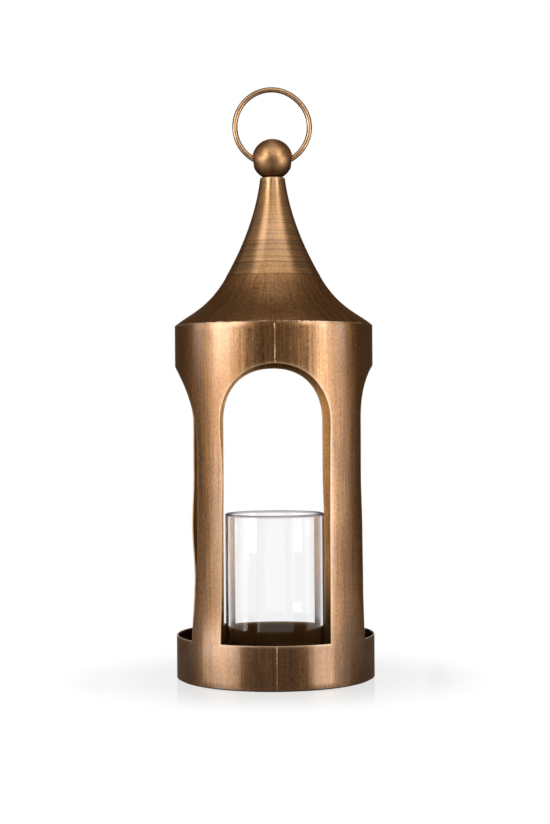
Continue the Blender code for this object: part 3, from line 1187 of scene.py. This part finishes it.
@dataclass
class Roof:
    """The two spun cones of the roof, and the solder round the eave.

    Attributes:
        sheet: thickness of the spun sheet.
        eave_radius, eave: radius and height of the eave.
        joint_radius, joint: radius of the joint between the cones, and height of the flare's end.
        joint_angle: lean of the wall from upright at the joint, in degrees.
        joint_gap: gap between the cones.
        eave_angle: lean at the eave, in degrees.
        eave_pull, joint_pull: lengths of the flare's handles.
        skirt_radius, skirt_depth: the skirt that drops inside the tube.
        tongue, joggle: height of the tongue inside the spire, and of the step below it.
        neck_radius, neck_top, neck_round, neck_hole: the neck, its rounding and its opening.
        neck_angle: lean below the neck, in degrees.
        spire_joint_pull, spire_neck_pull: lengths of the spire's handles.
        wear_reach: how far below the neck's top its rubbed brightness fades.
        flare_steps, spire_steps: steps down the wall of each cone.
        solder_steps: steps of the solder round the eave.
        solder_in, solder_sunk: how far its middle lies inside the eave, and below it.
        solder_wander: how far it strays up and down.
        solder_high, solder_wide: its half height and half width, each with how far they vary.
    """

    sheet: float = 0.9 * MM
    eave_radius: float = TUBE_RADIUS
    eave: float = 266.3 * MM
    joint_radius: float = 35.85 * MM
    joint: float = 303.7 * MM
    joint_angle: float = 29.4
    joint_gap: float = 0.3 * MM
    eave_angle: float = 48.0
    eave_pull: float = 13.0 * MM
    joint_pull: float = 28.0 * MM
    skirt_radius: float = TUBE_FIT
    skirt_depth: float = 6.0 * MM
    tongue: float = 6.0 * MM
    joggle: float = 4.0 * MM
    neck_radius: float = 9.5 * MM
    neck_top: float = 379.2 * MM
    neck_round: float = 1.4 * MM
    neck_hole: float = 7.0 * MM
    neck_angle: float = 7.7
    spire_joint_pull: float = 22.0 * MM
    spire_neck_pull: float = 30.0 * MM
    wear_reach: float = 0.8 * MM
    flare_steps: int = 64
    spire_steps: int = 96
    solder_steps: int = 720
    solder_in: float = 0.28 * MM
    solder_sunk: float = 0.15 * MM
    solder_wander: float = 0.10 * MM
    solder_high: tuple[float, float] = (0.42 * MM, 0.16 * MM)
    solder_wide: tuple[float, float] = (0.40 * MM, 0.08 * MM)

    def leaning(self, point: tuple, angle: float, pull: float) -> tuple:
        """The point moved down a leaning wall: out by pull sin(angle) and down by pull cos(angle)."""
        lean = math.radians(angle)
        return point[0] + pull * math.sin(lean), point[1] - pull * math.cos(lean)

    def flare(self) -> bpy.types.Object:
        """The lower cone, from the joggled tongue down to the eave and its skirt.

        The outer wall is a cubic curve, the inner one is it moved in by the sheet's thickness.

        Returns:
            The piece.
        """
        start, end = (self.joint_radius, self.joint), (self.eave_radius, self.eave)
        leave = self.leaning(start, self.joint_angle, self.joint_pull)
        arrive = self.leaning(end, self.eave_angle, -self.eave_pull)
        outer = bezier(start, leave, arrive, end, self.flare_steps)
        inner = beside(outer, self.sheet)
        lean = math.radians(self.joint_angle)
        across = (self.sheet + self.joint_gap) / math.cos(lean)
        wall = self.sheet / math.cos(lean)
        rise = self.tongue * math.tan(lean)
        skirt_outside, skirt_inside = self.skirt_radius, self.skirt_radius - self.sheet
        skirt_foot = self.eave - self.skirt_depth
        kept = inner[(inner[:, 0] < skirt_inside - self.joint_gap) & (inner[:, 1] < self.joint - self.joggle)]
        skirt = run(
            (skirt_outside, self.eave),
            (skirt_outside, skirt_foot),
            (skirt_inside, skirt_foot),
            (skirt_inside, np.interp(skirt_inside, inner[:, 0], inner[:, 1])),
        )
        tongue = run(
            (self.joint_radius - across - wall, self.joint),
            (self.joint_radius - across - wall - rise, self.joint + self.tongue),
            (self.joint_radius - across - rise, self.joint + self.tongue),
            (self.joint_radius - across, self.joint),
        )
        outline = np.concatenate((outer, skirt, kept[::-1], tongue))
        inside = np.concatenate((np.zeros(len(outer) + 2), np.ones(len(skirt) - 2 + len(kept) + len(tongue))))
        shell = Shell().add(turned(outline), round_rows=True, round_columns=True, inside=inside[:, None])
        return shell.piece("spun_flare", FLARE_BRASS)

    def spire(self) -> bpy.types.Object:
        """The upper cone, a slender trumpet whose neck turns in to a seat for the ball.

        Its walls are made as the flare's, with a quarter round at the neck.

        Returns:
            The piece.
        """
        top = (self.neck_radius, self.neck_top - self.neck_round)
        foot = (self.joint_radius, self.joint + self.joint_gap)
        leave = self.leaning(top, self.neck_angle, self.spire_neck_pull)
        arrive = self.leaning(foot, self.joint_angle, -self.spire_joint_pull)
        wall = bezier(top, leave, arrive, foot, self.spire_steps)
        shoulder = arc((top[0] - self.neck_round, top[1]), self.neck_round, 90.0, 0.0, 2 * ROUND_STEPS)
        inner = beside(wall, self.sheet)
        edge = (self.joint_radius - self.sheet / math.cos(math.radians(self.joint_angle)), foot[1])
        under = self.neck_top - self.sheet
        seat = run((self.neck_hole, self.neck_top), tuple(shoulder[0]))
        outer = np.concatenate((seat, shoulder[1:], wall[1:]))
        back = np.concatenate(([edge], inner[-2:0:-1], run((inner[0, 0], under), (self.neck_hole, under))))
        outline = np.concatenate((outer, back))
        inside = np.concatenate((np.zeros(len(outer)), np.ones(len(back))))
        wear = np.zeros(len(outline))
        wear[: len(outer)] = np.exp(-np.abs(outer[:, 1] - self.neck_top) / self.wear_reach)
        marks = {"inside": inside[:, None], "wear": wear[:, None]}
        shell = Shell().add(turned(outline), round_rows=True, round_columns=True, **marks)
        return shell.piece("spun_spire", SPIRE_BRASS)

    def eave_solder(self) -> bpy.types.Object:
        """An uneven fillet of solder where the flare sits on the tube.

        Returns:
            The piece.
        """
        angle = np.arange(self.solder_steps) * math.tau / self.solder_steps
        out = np.column_stack((np.sin(angle), -np.cos(angle), 0.0 * angle))
        turns = angle / math.tau
        wander = self.solder_wander * ripple(turns, (17.0, 41.0, 90.0), 5)
        path = out * (self.eave_radius - self.solder_in)
        path[:, 2] = self.eave - self.solder_sunk + wander
        up = np.tile((0.0, 0.0, 1.0), (len(angle), 1))
        high = self.solder_high[0] + self.solder_high[1] * ripple(turns, (23.0, 57.0, 131.0, 190.0), 6)
        wide = self.solder_wide[0] + self.solder_wide[1] * ripple(turns, (31.0, 77.0, 160.0), 7)
        shell = Shell().add(bead(path, up, out, high, wide), round_rows=True, round_columns=True)
        return shell.piece("eave_solder", SOLDER)

    def build(self) -> list[bpy.types.Object]:
        """Makes both cones and the solder, and sets them on the lantern.

        Returns:
            The pieces made.
        """
        flare, spire, solder = self.flare(), self.spire(), self.eave_solder()
        for piece, node, slot in (
            (flare, "roof_flare", "dark_brass"),
            (spire, "roof_spire", "spun_brass"),
            (solder, "", "antique_brass"),
        ):
            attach(piece, "lantern")
            if node:
                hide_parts(node)
        return [flare, spire, solder]


@dataclass
class Finial:
    """The cross-bored ball on the neck. Its screw and washer are CAD nodes and keep their shape.

    Attributes:
        radius: radius of the ball.
        centre: height of its centre.
        bore_radius: radius of the cross bore.
        bore_height: height of the bore's axis.
        bore_ease: width of the eased edge of the bore.
        face_steps, bore_steps: steps from one mouth of the bore to the other, outside and inside.
        rubbed: how bright the eased edges are rubbed.
    """

    radius: float = 15.4 * MM
    centre: float = 393.253 * MM
    bore_radius: float = 4.575 * MM
    bore_height: float = 391.731 * MM
    bore_ease: float = 0.35 * MM
    face_steps: int = 89
    bore_steps: int = 11
    rubbed: float = 0.8

    def ball(self) -> bpy.types.Object:
        """The ball, as circles in the half planes through the bore's axis.

        In the half plane at angle a from straight up the ball is a circle of radius
        sqrt(R ** 2 - (c sin a) ** 2) whose centre is c cos a from the axis, where c is how far
        the ball's centre is above the axis. It runs from one mouth of the bore to the other,
        round the eased edge and back along the bore.

        Returns:
            The piece.
        """
        angle = np.arange(SMALL_TURN_STEPS * 2)[None, :] * math.tau / (SMALL_TURN_STEPS * 2)
        offset = self.centre - self.bore_height
        cut = np.sqrt(self.radius**2 - (offset * np.sin(angle)) ** 2)
        middle = offset * np.cos(angle)
        mouth = self.bore_radius + self.bore_ease
        first = np.arcsin((mouth - middle) / cut)
        share = np.linspace(0.0, 1.0, self.face_steps + 1)[:, None]
        sweep = first + (math.pi - 2.0 * first) * share
        along, away = cut * np.cos(sweep), middle + cut * np.sin(sweep)
        ease = np.linspace(0.0, math.pi / 2.0, ROUND_STEPS + 1)[1:, None]
        end = cut * np.cos(first)
        lip_away = mouth - self.bore_ease * np.sin(ease) + 0.0 * angle
        lip_along = end - self.bore_ease * (1.0 - np.cos(ease))
        hole = np.linspace(1.0, -1.0, self.bore_steps + 1)[1:-1, None] * lip_along[-1:]
        hole_away = np.full_like(hole, self.bore_radius)
        along = np.concatenate((along, -lip_along, -hole, lip_along[::-1]))
        away = np.concatenate((away, lip_away, hole_away, lip_away[::-1]))
        grid = np.stack((along, away * np.sin(angle), self.bore_height + away * np.cos(angle)), axis=-1)
        wear, inside = np.zeros((2, len(along), 1))
        bored = slice(len(share) + ROUND_STEPS, -ROUND_STEPS)
        inside[bored] = 1.0
        wear[len(share) :] = self.rubbed
        wear[bored] = 0.0
        shell = Shell().add(grid, round_rows=True, round_columns=True, wear=wear, inside=inside)
        return shell.piece("bored_ball", BALL_BRASS)

    def build(self, nodes: dict[str, bpy.types.Object]) -> list[bpy.types.Object]:
        """Makes the ball, sets it on the lantern and dresses the screw and the washer.

        Args:
            nodes: the CAD nodes by name.

        Returns:
            The pieces made.
        """
        ball = self.ball()
        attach(ball, "lantern")
        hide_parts("finial_ball")
        for name in ("finial_screw", "finial_washer"):
            dress(nodes[name], STEEL)
        return [ball]


@dataclass
class HangingRing:
    """The bent wire ring that swings in the ball's bore.

    Attributes:
        radius: radius of the wire's centre line.
        centre: height of the ring's centre.
        wire: radius of the wire.
        flat: how far the ring is bent in at its upper right.
        flat_angle, flat_spread: where that is and how wide, in degrees from +X.
        steps, section_steps: steps round the ring and round the wire.
    """

    radius: float = 28.35 * MM
    centre: float = 417.856 * MM
    wire: float = 2.0 * MM
    flat: float = 0.55 * MM
    flat_angle: float = 48.0
    flat_spread: float = 30.0
    steps: int = 320
    section_steps: int = 28

    def ring(self) -> bpy.types.Object:
        """The wire: a circle of small radius carried round a circle that is bent in at one place.

        The bend takes flat * exp(-(angle / spread) ** 2) off the radius.

        Returns:
            The piece.
        """
        around = (np.arange(self.steps) * math.tau / self.steps)[:, None]
        about = (np.arange(self.section_steps) * math.tau / self.section_steps)[None, :]
        away = (np.degrees(around) - self.flat_angle + 180.0) % 360.0 - 180.0
        radius = self.radius - self.flat * np.exp(-((away / self.flat_spread) ** 2))
        reach = radius + self.wire * np.cos(about)
        grid = np.stack(
            (
                reach * np.cos(around),
                self.wire * np.sin(about) + 0.0 * around,
                self.centre + reach * np.sin(around),
            ),
            axis=-1,
        )
        return Shell().add(grid, round_rows=True, round_columns=True).piece("bent_ring", RING_BRASS)

    def build(self) -> list[bpy.types.Object]:
        """Makes the ring and hangs it on its body.

        Returns:
            The pieces made.
        """
        ring = self.ring()
        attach(ring, "ring")
        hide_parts("hanging_ring")
        return [ring]


@dataclass
class CandleGlass:
    """The loose glass cylinder that shields the candle.

    Attributes:
        radius, foot, top: outside of the cylinder.
        wall, base: thickness of its wall and of its base.
        foot_round, well_round: rounding outside the foot and inside the well.
        lip_reach: height of the finely divided stretch below the lip.
        grind_reach: how far down the grinding of the lip, and the grey painted on it as shade, fades.
        face_steps: steps from the middle of the base to its edge.
        wall_steps, lip_steps: steps up the wall and up the stretch below the lip.
    """

    radius: float = 37.8 * MM
    foot: float = 3.3 * MM
    top: float = 124.3 * MM
    wall: float = 3.0 * MM
    base: float = 4.5 * MM
    foot_round: float = 2.5 * MM
    well_round: float = 3.5 * MM
    lip_reach: float = 3.0 * MM
    grind_reach: float = 0.4 * MM
    face_steps: int = 8
    wall_steps: int = 24
    lip_steps: int = 6

    def glass(self) -> bpy.types.Object:
        """The cylinder, turned from one outline whose lip is a half round of the wall's width.

        Returns:
            The piece.
        """
        bead_radius = self.wall / 2.0
        bead_foot, fine_foot = self.top - bead_radius, self.top - self.lip_reach
        well = self.foot + self.base
        outer, inner = self.radius, self.radius - self.wall
        foot_centre = (outer - self.foot_round, self.foot + self.foot_round)
        well_centre = (inner - self.well_round, well + self.well_round)
        round_steps = 2 * ROUND_STEPS
        outside = np.concatenate(
            (
                run((0.0, self.foot), (foot_centre[0], self.foot), steps=self.face_steps),
                arc(foot_centre, self.foot_round, -90.0, 0.0, round_steps)[1:],
                run((outer, foot_centre[1]), (outer, fine_foot), steps=self.wall_steps)[1:],
                run((outer, fine_foot), (outer, bead_foot), steps=self.lip_steps)[1:],
            )
        )
        lip = arc((outer - bead_radius, bead_foot), bead_radius, 0.0, 180.0, 2 * round_steps)[1:]
        inside = np.concatenate(
            (
                run((inner, bead_foot), (inner, fine_foot), steps=self.lip_steps)[1:],
                run((inner, fine_foot), (inner, well_centre[1]), steps=self.wall_steps)[1:],
                arc(well_centre, self.well_round, 0.0, -90.0, round_steps)[1:],
                run((well_centre[0], well), (0.0, well), steps=self.face_steps)[1:],
            )
        )
        outline = np.concatenate((outside, lip, inside))
        # Mask of the lip's grinding and of the grey painted on it as shade
        grinding_and_shade = np.exp(-np.clip(bead_foot - outline[:, 1], 0.0, None) / self.grind_reach)
        shell = Shell().add(turned(outline), round_columns=True, wear=grinding_and_shade[:, None])
        return shell.piece("glass_shield", GLASS)

    def build(self) -> list[bpy.types.Object]:
        """Makes the glass and sets it on its body.

        Returns:
            The pieces made.
        """
        glass = self.glass()
        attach(glass, "glass")
        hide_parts("glass_cylinder")
        return [glass]


def dress(node: bpy.types.Object, finish: Finish) -> None:
    """Gives a CAD node a finish in place of its plain one."""
    node.data.materials.clear()
    node.data.materials.append(finish.material())


# The studio


@dataclass(frozen=True)
class SoftBox:
    """A rectangular soft light that faces the lantern.

    Attributes:
        name: name of the light.
        azimuth: degrees round from -Y towards +X.
        elevation: degrees above the lantern's middle.
        distance: distance from it.
        wide, tall: size of the face.
        radiance: brightness of the face, where 1 is white.
        middle: height that it faces.
    """

    name: str
    azimuth: float
    elevation: float
    distance: float
    wide: float
    tall: float
    radiance: float
    middle: float = 0.2

    def hang(self) -> None:
        """Makes the light. A face of area A sends out pi times A times its radiance."""
        light = bpy.data.lights.new(self.name, "AREA")
        light.shape = "RECTANGLE"
        light.size, light.size_y = self.wide, self.tall
        light.energy = math.pi * self.wide * self.tall * self.radiance
        lamp = bpy.data.objects.new(self.name, light)
        bpy.context.scene.collection.objects.link(lamp)
        around, up = math.radians(self.azimuth), math.radians(self.elevation)
        away = Vector((math.sin(around) * math.cos(up), -math.cos(around) * math.cos(up), math.sin(up)))
        lamp.location = Vector((0.0, 0.0, self.middle)) + away * self.distance
        lamp.rotation_mode = "QUATERNION"
        lamp.rotation_quaternion = away.to_track_quat("Z", "Y")
        lamp.visible_camera = False


@dataclass(frozen=True)
class PaleFloor(Finish):
    """Pale floor that fades to white away from the lantern and keeps its shadow.

    Attributes:
        paper: colour of the floor.
        gloss: roughness of its faint sheen.
        tooth: depth in metres of the paper's tooth.
        near: radii between which it fades for the camera and through glass.
        least: share of white that they see right at the lantern.
        aside: distances to either side of the middle between which it fades in polished metal.
        aside_most: most of it that polished metal sees.
        behind: distances behind the middle between which polished metal sees it no more.
    """

    paper: Colour = (0.29, 0.25, 0.215)
    gloss: float = 0.12
    tooth: float = 0.0001
    near: tuple[float, float] = (0.076, 0.17)
    least: float = 0.72
    aside: tuple[float, float] = (0.10, 0.34)
    aside_most: float = 0.3
    behind: tuple[float, float] = (0.0, 0.12)

    def surface(self, net: Net) -> Wire:
        """Builds the shader: pale paper, and white where camera, mirror and glass rays see it far off.

        Args:
            net: the material's nodes.

        Returns:
            The shader.
        """
        place = net.place()
        sockets = {
            "Base Color": (*self.paper, 1.0),
            "Roughness": self.gloss,
            "Specular IOR Level": 1.0,
            "Normal": net.bump(net.noise(place, 900.0, detail=2.0, seed=1.0), self.tooth, strength=0.1),
        }
        paper = net.principled(sockets)
        away = net.vector("LENGTH", place, output="Value")
        side = net.size(net.part(place, "X"))
        camera, mirror, through = rays(net)
        white = net.glow((1.0, 1.0, 1.0, 1.0))
        direct = (self.least + net.between(away, *self.near) * (1.0 - self.least)) * (camera + through)
        mirrored = net.between(side, *self.aside) * (1.0 - net.between(net.part(place, "Y"), *self.behind))
        share = (direct + mirrored * self.aside_most * mirror).clamped()
        return net.node("ShaderNodeMixShader", {}, {0: share, 1: paper, 2: white})


@dataclass(frozen=True)
class DarkCard(Finish):
    """Dark card that stands round the set, so that polished metal has something dark to show.

    Attributes:
        sheen: how bright the card looks in the metal.
    """

    sheen: Colour = (0.09, 0.062, 0.040)

    def surface(self, net: Net) -> Wire:
        """Builds the shader: the card's faint glow, slightly uneven.

        Args:
            net: the material's nodes.

        Returns:
            The shader.
        """
        cloud = net.noise(net.place(), 1.5, detail=2.0, seed=4.0)
        return net.glow(net.blend(1.0, self.sheen, 0.8 + cloud * 0.4, "MULTIPLY"))


def rays(net: Net) -> tuple[Wire, Wire, Wire]:
    """1 on rays from the camera, on rays from a mirror and on rays through glass, otherwise 0.

    A ray from a mirror is a glossy one that has not gone through glass: glossy (1 - glass).

    Args:
        net: the nodes of a material or of the world.

    Returns:
        The three values, in that order.
    """
    camera, glossy, glass = (
        net.node("ShaderNodeLightPath", {}, {}, name)
        for name in ("Is Camera Ray", "Is Glossy Ray", "Is Transmission Ray")
    )
    return camera, glossy * (1.0 - glass), glass


@dataclass
class Studio:
    """Pale floor, soft boxes and the camera of the photograph.

    Attributes:
        floor_radius: radius of the floor.
        floor_near, floor_rings: radius of its innermost ring, and number of rings out to its edge.
        boxes: the soft boxes.
        dim: colour of the unlit studio.
        card_radius: distance of the dark cards.
        card_gap: half the angle of the gap behind the lantern, in degrees.
        card_steps: steps of the cards round the lantern and from the lowest to the highest.
        distance, eye: distance of the camera from the lantern's axis, and its height.
        turn: degrees that the lantern is turned to the camera's right.
        focal: focal length for the sensor's long side.
        sensor: length of that side.
        aim_right, aim_up: where the camera points beside the axis and above its own height.
        roll: degrees that the camera leans to its right.
    """

    floor_radius: float = 6.0
    floor_near: float = 0.1
    floor_rings: int = 24
    boxes: tuple[SoftBox, ...] = (
        SoftBox("left_low_box", -62.0, -6.0, 1.1, 0.50, 0.18, 2.2),
        SoftBox("left_foot_box", -56.0, -43.0, 0.273, 0.15, 0.033, 2.5),
        SoftBox("left_inner_box", -43.0, 11.0, 1.1, 0.22, 0.16, 4.0),
        SoftBox("left_side_box", -62.0, 10.2, 1.1, 0.52, 0.25, 6.1),
        SoftBox("left_far_box", -91.0, 12.0, 1.1, 0.38, 0.28, 1.65),
        SoftBox("left_back_box", -100.0, 34.0, 1.1, 0.90, 0.70, 0.16),
        SoftBox("left_high_box", -40.0, 25.0, 1.1, 0.36, 0.42, 6.6),
        SoftBox("left_top_box", -48.0, 49.0, 1.1, 0.50, 0.30, 2.7),
        SoftBox("right_low_box", 55.0, -5.3, 1.1, 0.54, 0.20, 6.0),
        SoftBox("right_inner_box", 56.0, 11.0, 1.1, 0.26, 0.20, 6.4),
        SoftBox("right_middle_box", 81.0, -3.5, 1.1, 0.36, 0.20, 1.0),
        SoftBox("right_side_box", 77.0, 9.0, 1.1, 0.36, 0.20, 2.6),
        SoftBox("right_back_box", 100.0, 34.0, 1.1, 0.90, 0.70, 0.1),
        SoftBox("right_high_box", 37.0, 25.0, 1.1, 0.34, 0.42, 5.6),
        SoftBox("right_top_box", 45.0, 49.0, 1.1, 0.46, 0.30, 2.2),
        SoftBox("front_top_box", 4.0, 52.0, 1.1, 0.62, 0.30, 1.9),
        SoftBox("front_high_box", 4.0, 31.0, 1.1, 0.30, 0.22, 3.0),
        SoftBox("overhead_box", 0.0, 78.0, 1.1, 0.60, 0.60, 0.85),
    )
    dim: Colour = (0.24, 0.225, 0.21)
    card_radius: float = 1.6
    card_gap: float = 10.0
    card_steps: tuple[int, int] = (64, 32)
    distance: float = 1.290
    eye: float = 0.1995
    turn: float = 0.6
    focal: float = 74.10
    sensor: float = 36.0
    aim_right: float = 0.00065
    aim_up: float = 0.00154
    roll: float = 0.40

    def floor(self) -> None:
        """Lays a round floor whose rings widen outwards, each by the same share."""
        radii = np.concatenate(([0.0], np.geomspace(self.floor_near, self.floor_radius, self.floor_rings)))
        grid = turned(np.column_stack((radii, 0.0 * radii)), SMALL_TURN_STEPS)
        floor = Shell().add(grid, round_columns=True).piece("pale_floor", PaleFloor("pale_paper"))

    def cards(self) -> None:
        """Stands dark cards round and over the set, open behind the lantern.

        They are a ball's surface, radius times (cos e sin a, -cos e cos a, sin e), without the
        gap behind. Only mirrored rays see them, so no view of the lantern is shut off.
        """
        gap = math.radians(self.card_gap)
        around = math.pi + np.linspace(gap, math.tau - gap, self.card_steps[0] + 1)[None, :]
        up = np.linspace(-math.pi / 2.0, math.pi / 2.0, self.card_steps[1] + 1)[:, None]
        across, away = np.cos(up) * np.sin(around), -np.cos(up) * np.cos(around)
        grid = self.card_radius * np.stack((across, away, np.sin(up) + 0.0 * around), axis=-1)
        cards = Shell().add(grid).piece("dark_cards", DarkCard("dark_card"))
        cards.visible_camera = False
        cards.visible_diffuse = False
        cards.visible_transmission = False
        cards.visible_shadow = False

    def surroundings(self) -> None:
        """Dim light from all round, and white where camera, mirror and glass rays go past the set."""
        world = bpy.data.worlds.new("studio")
        world.use_nodes = True
        bpy.context.scene.world = world
        net = Net(world.node_tree)
        camera, mirror, through = rays(net)
        colour = net.blend((camera + mirror + through).clamped(), self.dim, (1.0, 1.0, 1.0))
        net.output(net.node("ShaderNodeBackground", {}, {"Color": colour}), "ShaderNodeOutputWorld")

    def camera(self) -> None:
        """The camera, level but for the small tilt and lean that the photograph shows."""
        view = bpy.data.cameras.new("camera")
        view.sensor_width = self.sensor
        view.lens = self.focal
        eye = bpy.data.objects.new("camera", view)
        bpy.context.scene.collection.objects.link(eye)
        turn = math.radians(self.turn)
        forward = Vector((math.sin(turn), math.cos(turn), 0.0))
        right = Vector((math.cos(turn), -math.sin(turn), 0.0))
        eye.location = -self.distance * forward + Vector((0.0, 0.0, self.eye))
        target = Vector((0.0, 0.0, self.eye + self.aim_up)) + self.aim_right * right
        eye.rotation_mode = "QUATERNION"
        lean = Quaternion((0.0, 0.0, 1.0), -math.radians(self.roll))
        eye.rotation_quaternion = (target - eye.location).to_track_quat("-Z", "Y") @ lean
        bpy.context.scene.camera = eye

    def build(self) -> None:
        """Sets up the floor, the dark cards, the lights and the camera."""
        self.floor()
        self.cards()
        self.surroundings()
        for box in self.boxes:
            box.hang()
        self.camera()
        bpy.context.scene.view_settings.view_transform = "Standard"


def corners(bounds: tuple[Vector, Vector]) -> list[list[float]]:
    """Both corners of a box as plain lists."""
    return [list(corner) for corner in bounds]


def main() -> None:
    """Loads the frame, builds each sub-assembly round it and logs each piece's faces."""
    logging.basicConfig(level=logging.INFO, format="%(name)s: %(message)s")
    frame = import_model()
    Studio().build()
    pieces = SheetTube().build()
    pieces += Underside().build()
    pieces += Roof().build()
    pieces += Finial().build(frame["nodes"])
    pieces += HangingRing().build()
    pieces += CandleGlass().build()
    for piece in pieces:
        log.info("%s has %d faces", piece.name, len(piece.data.polygons))


if __name__ == "__main__":
    main()
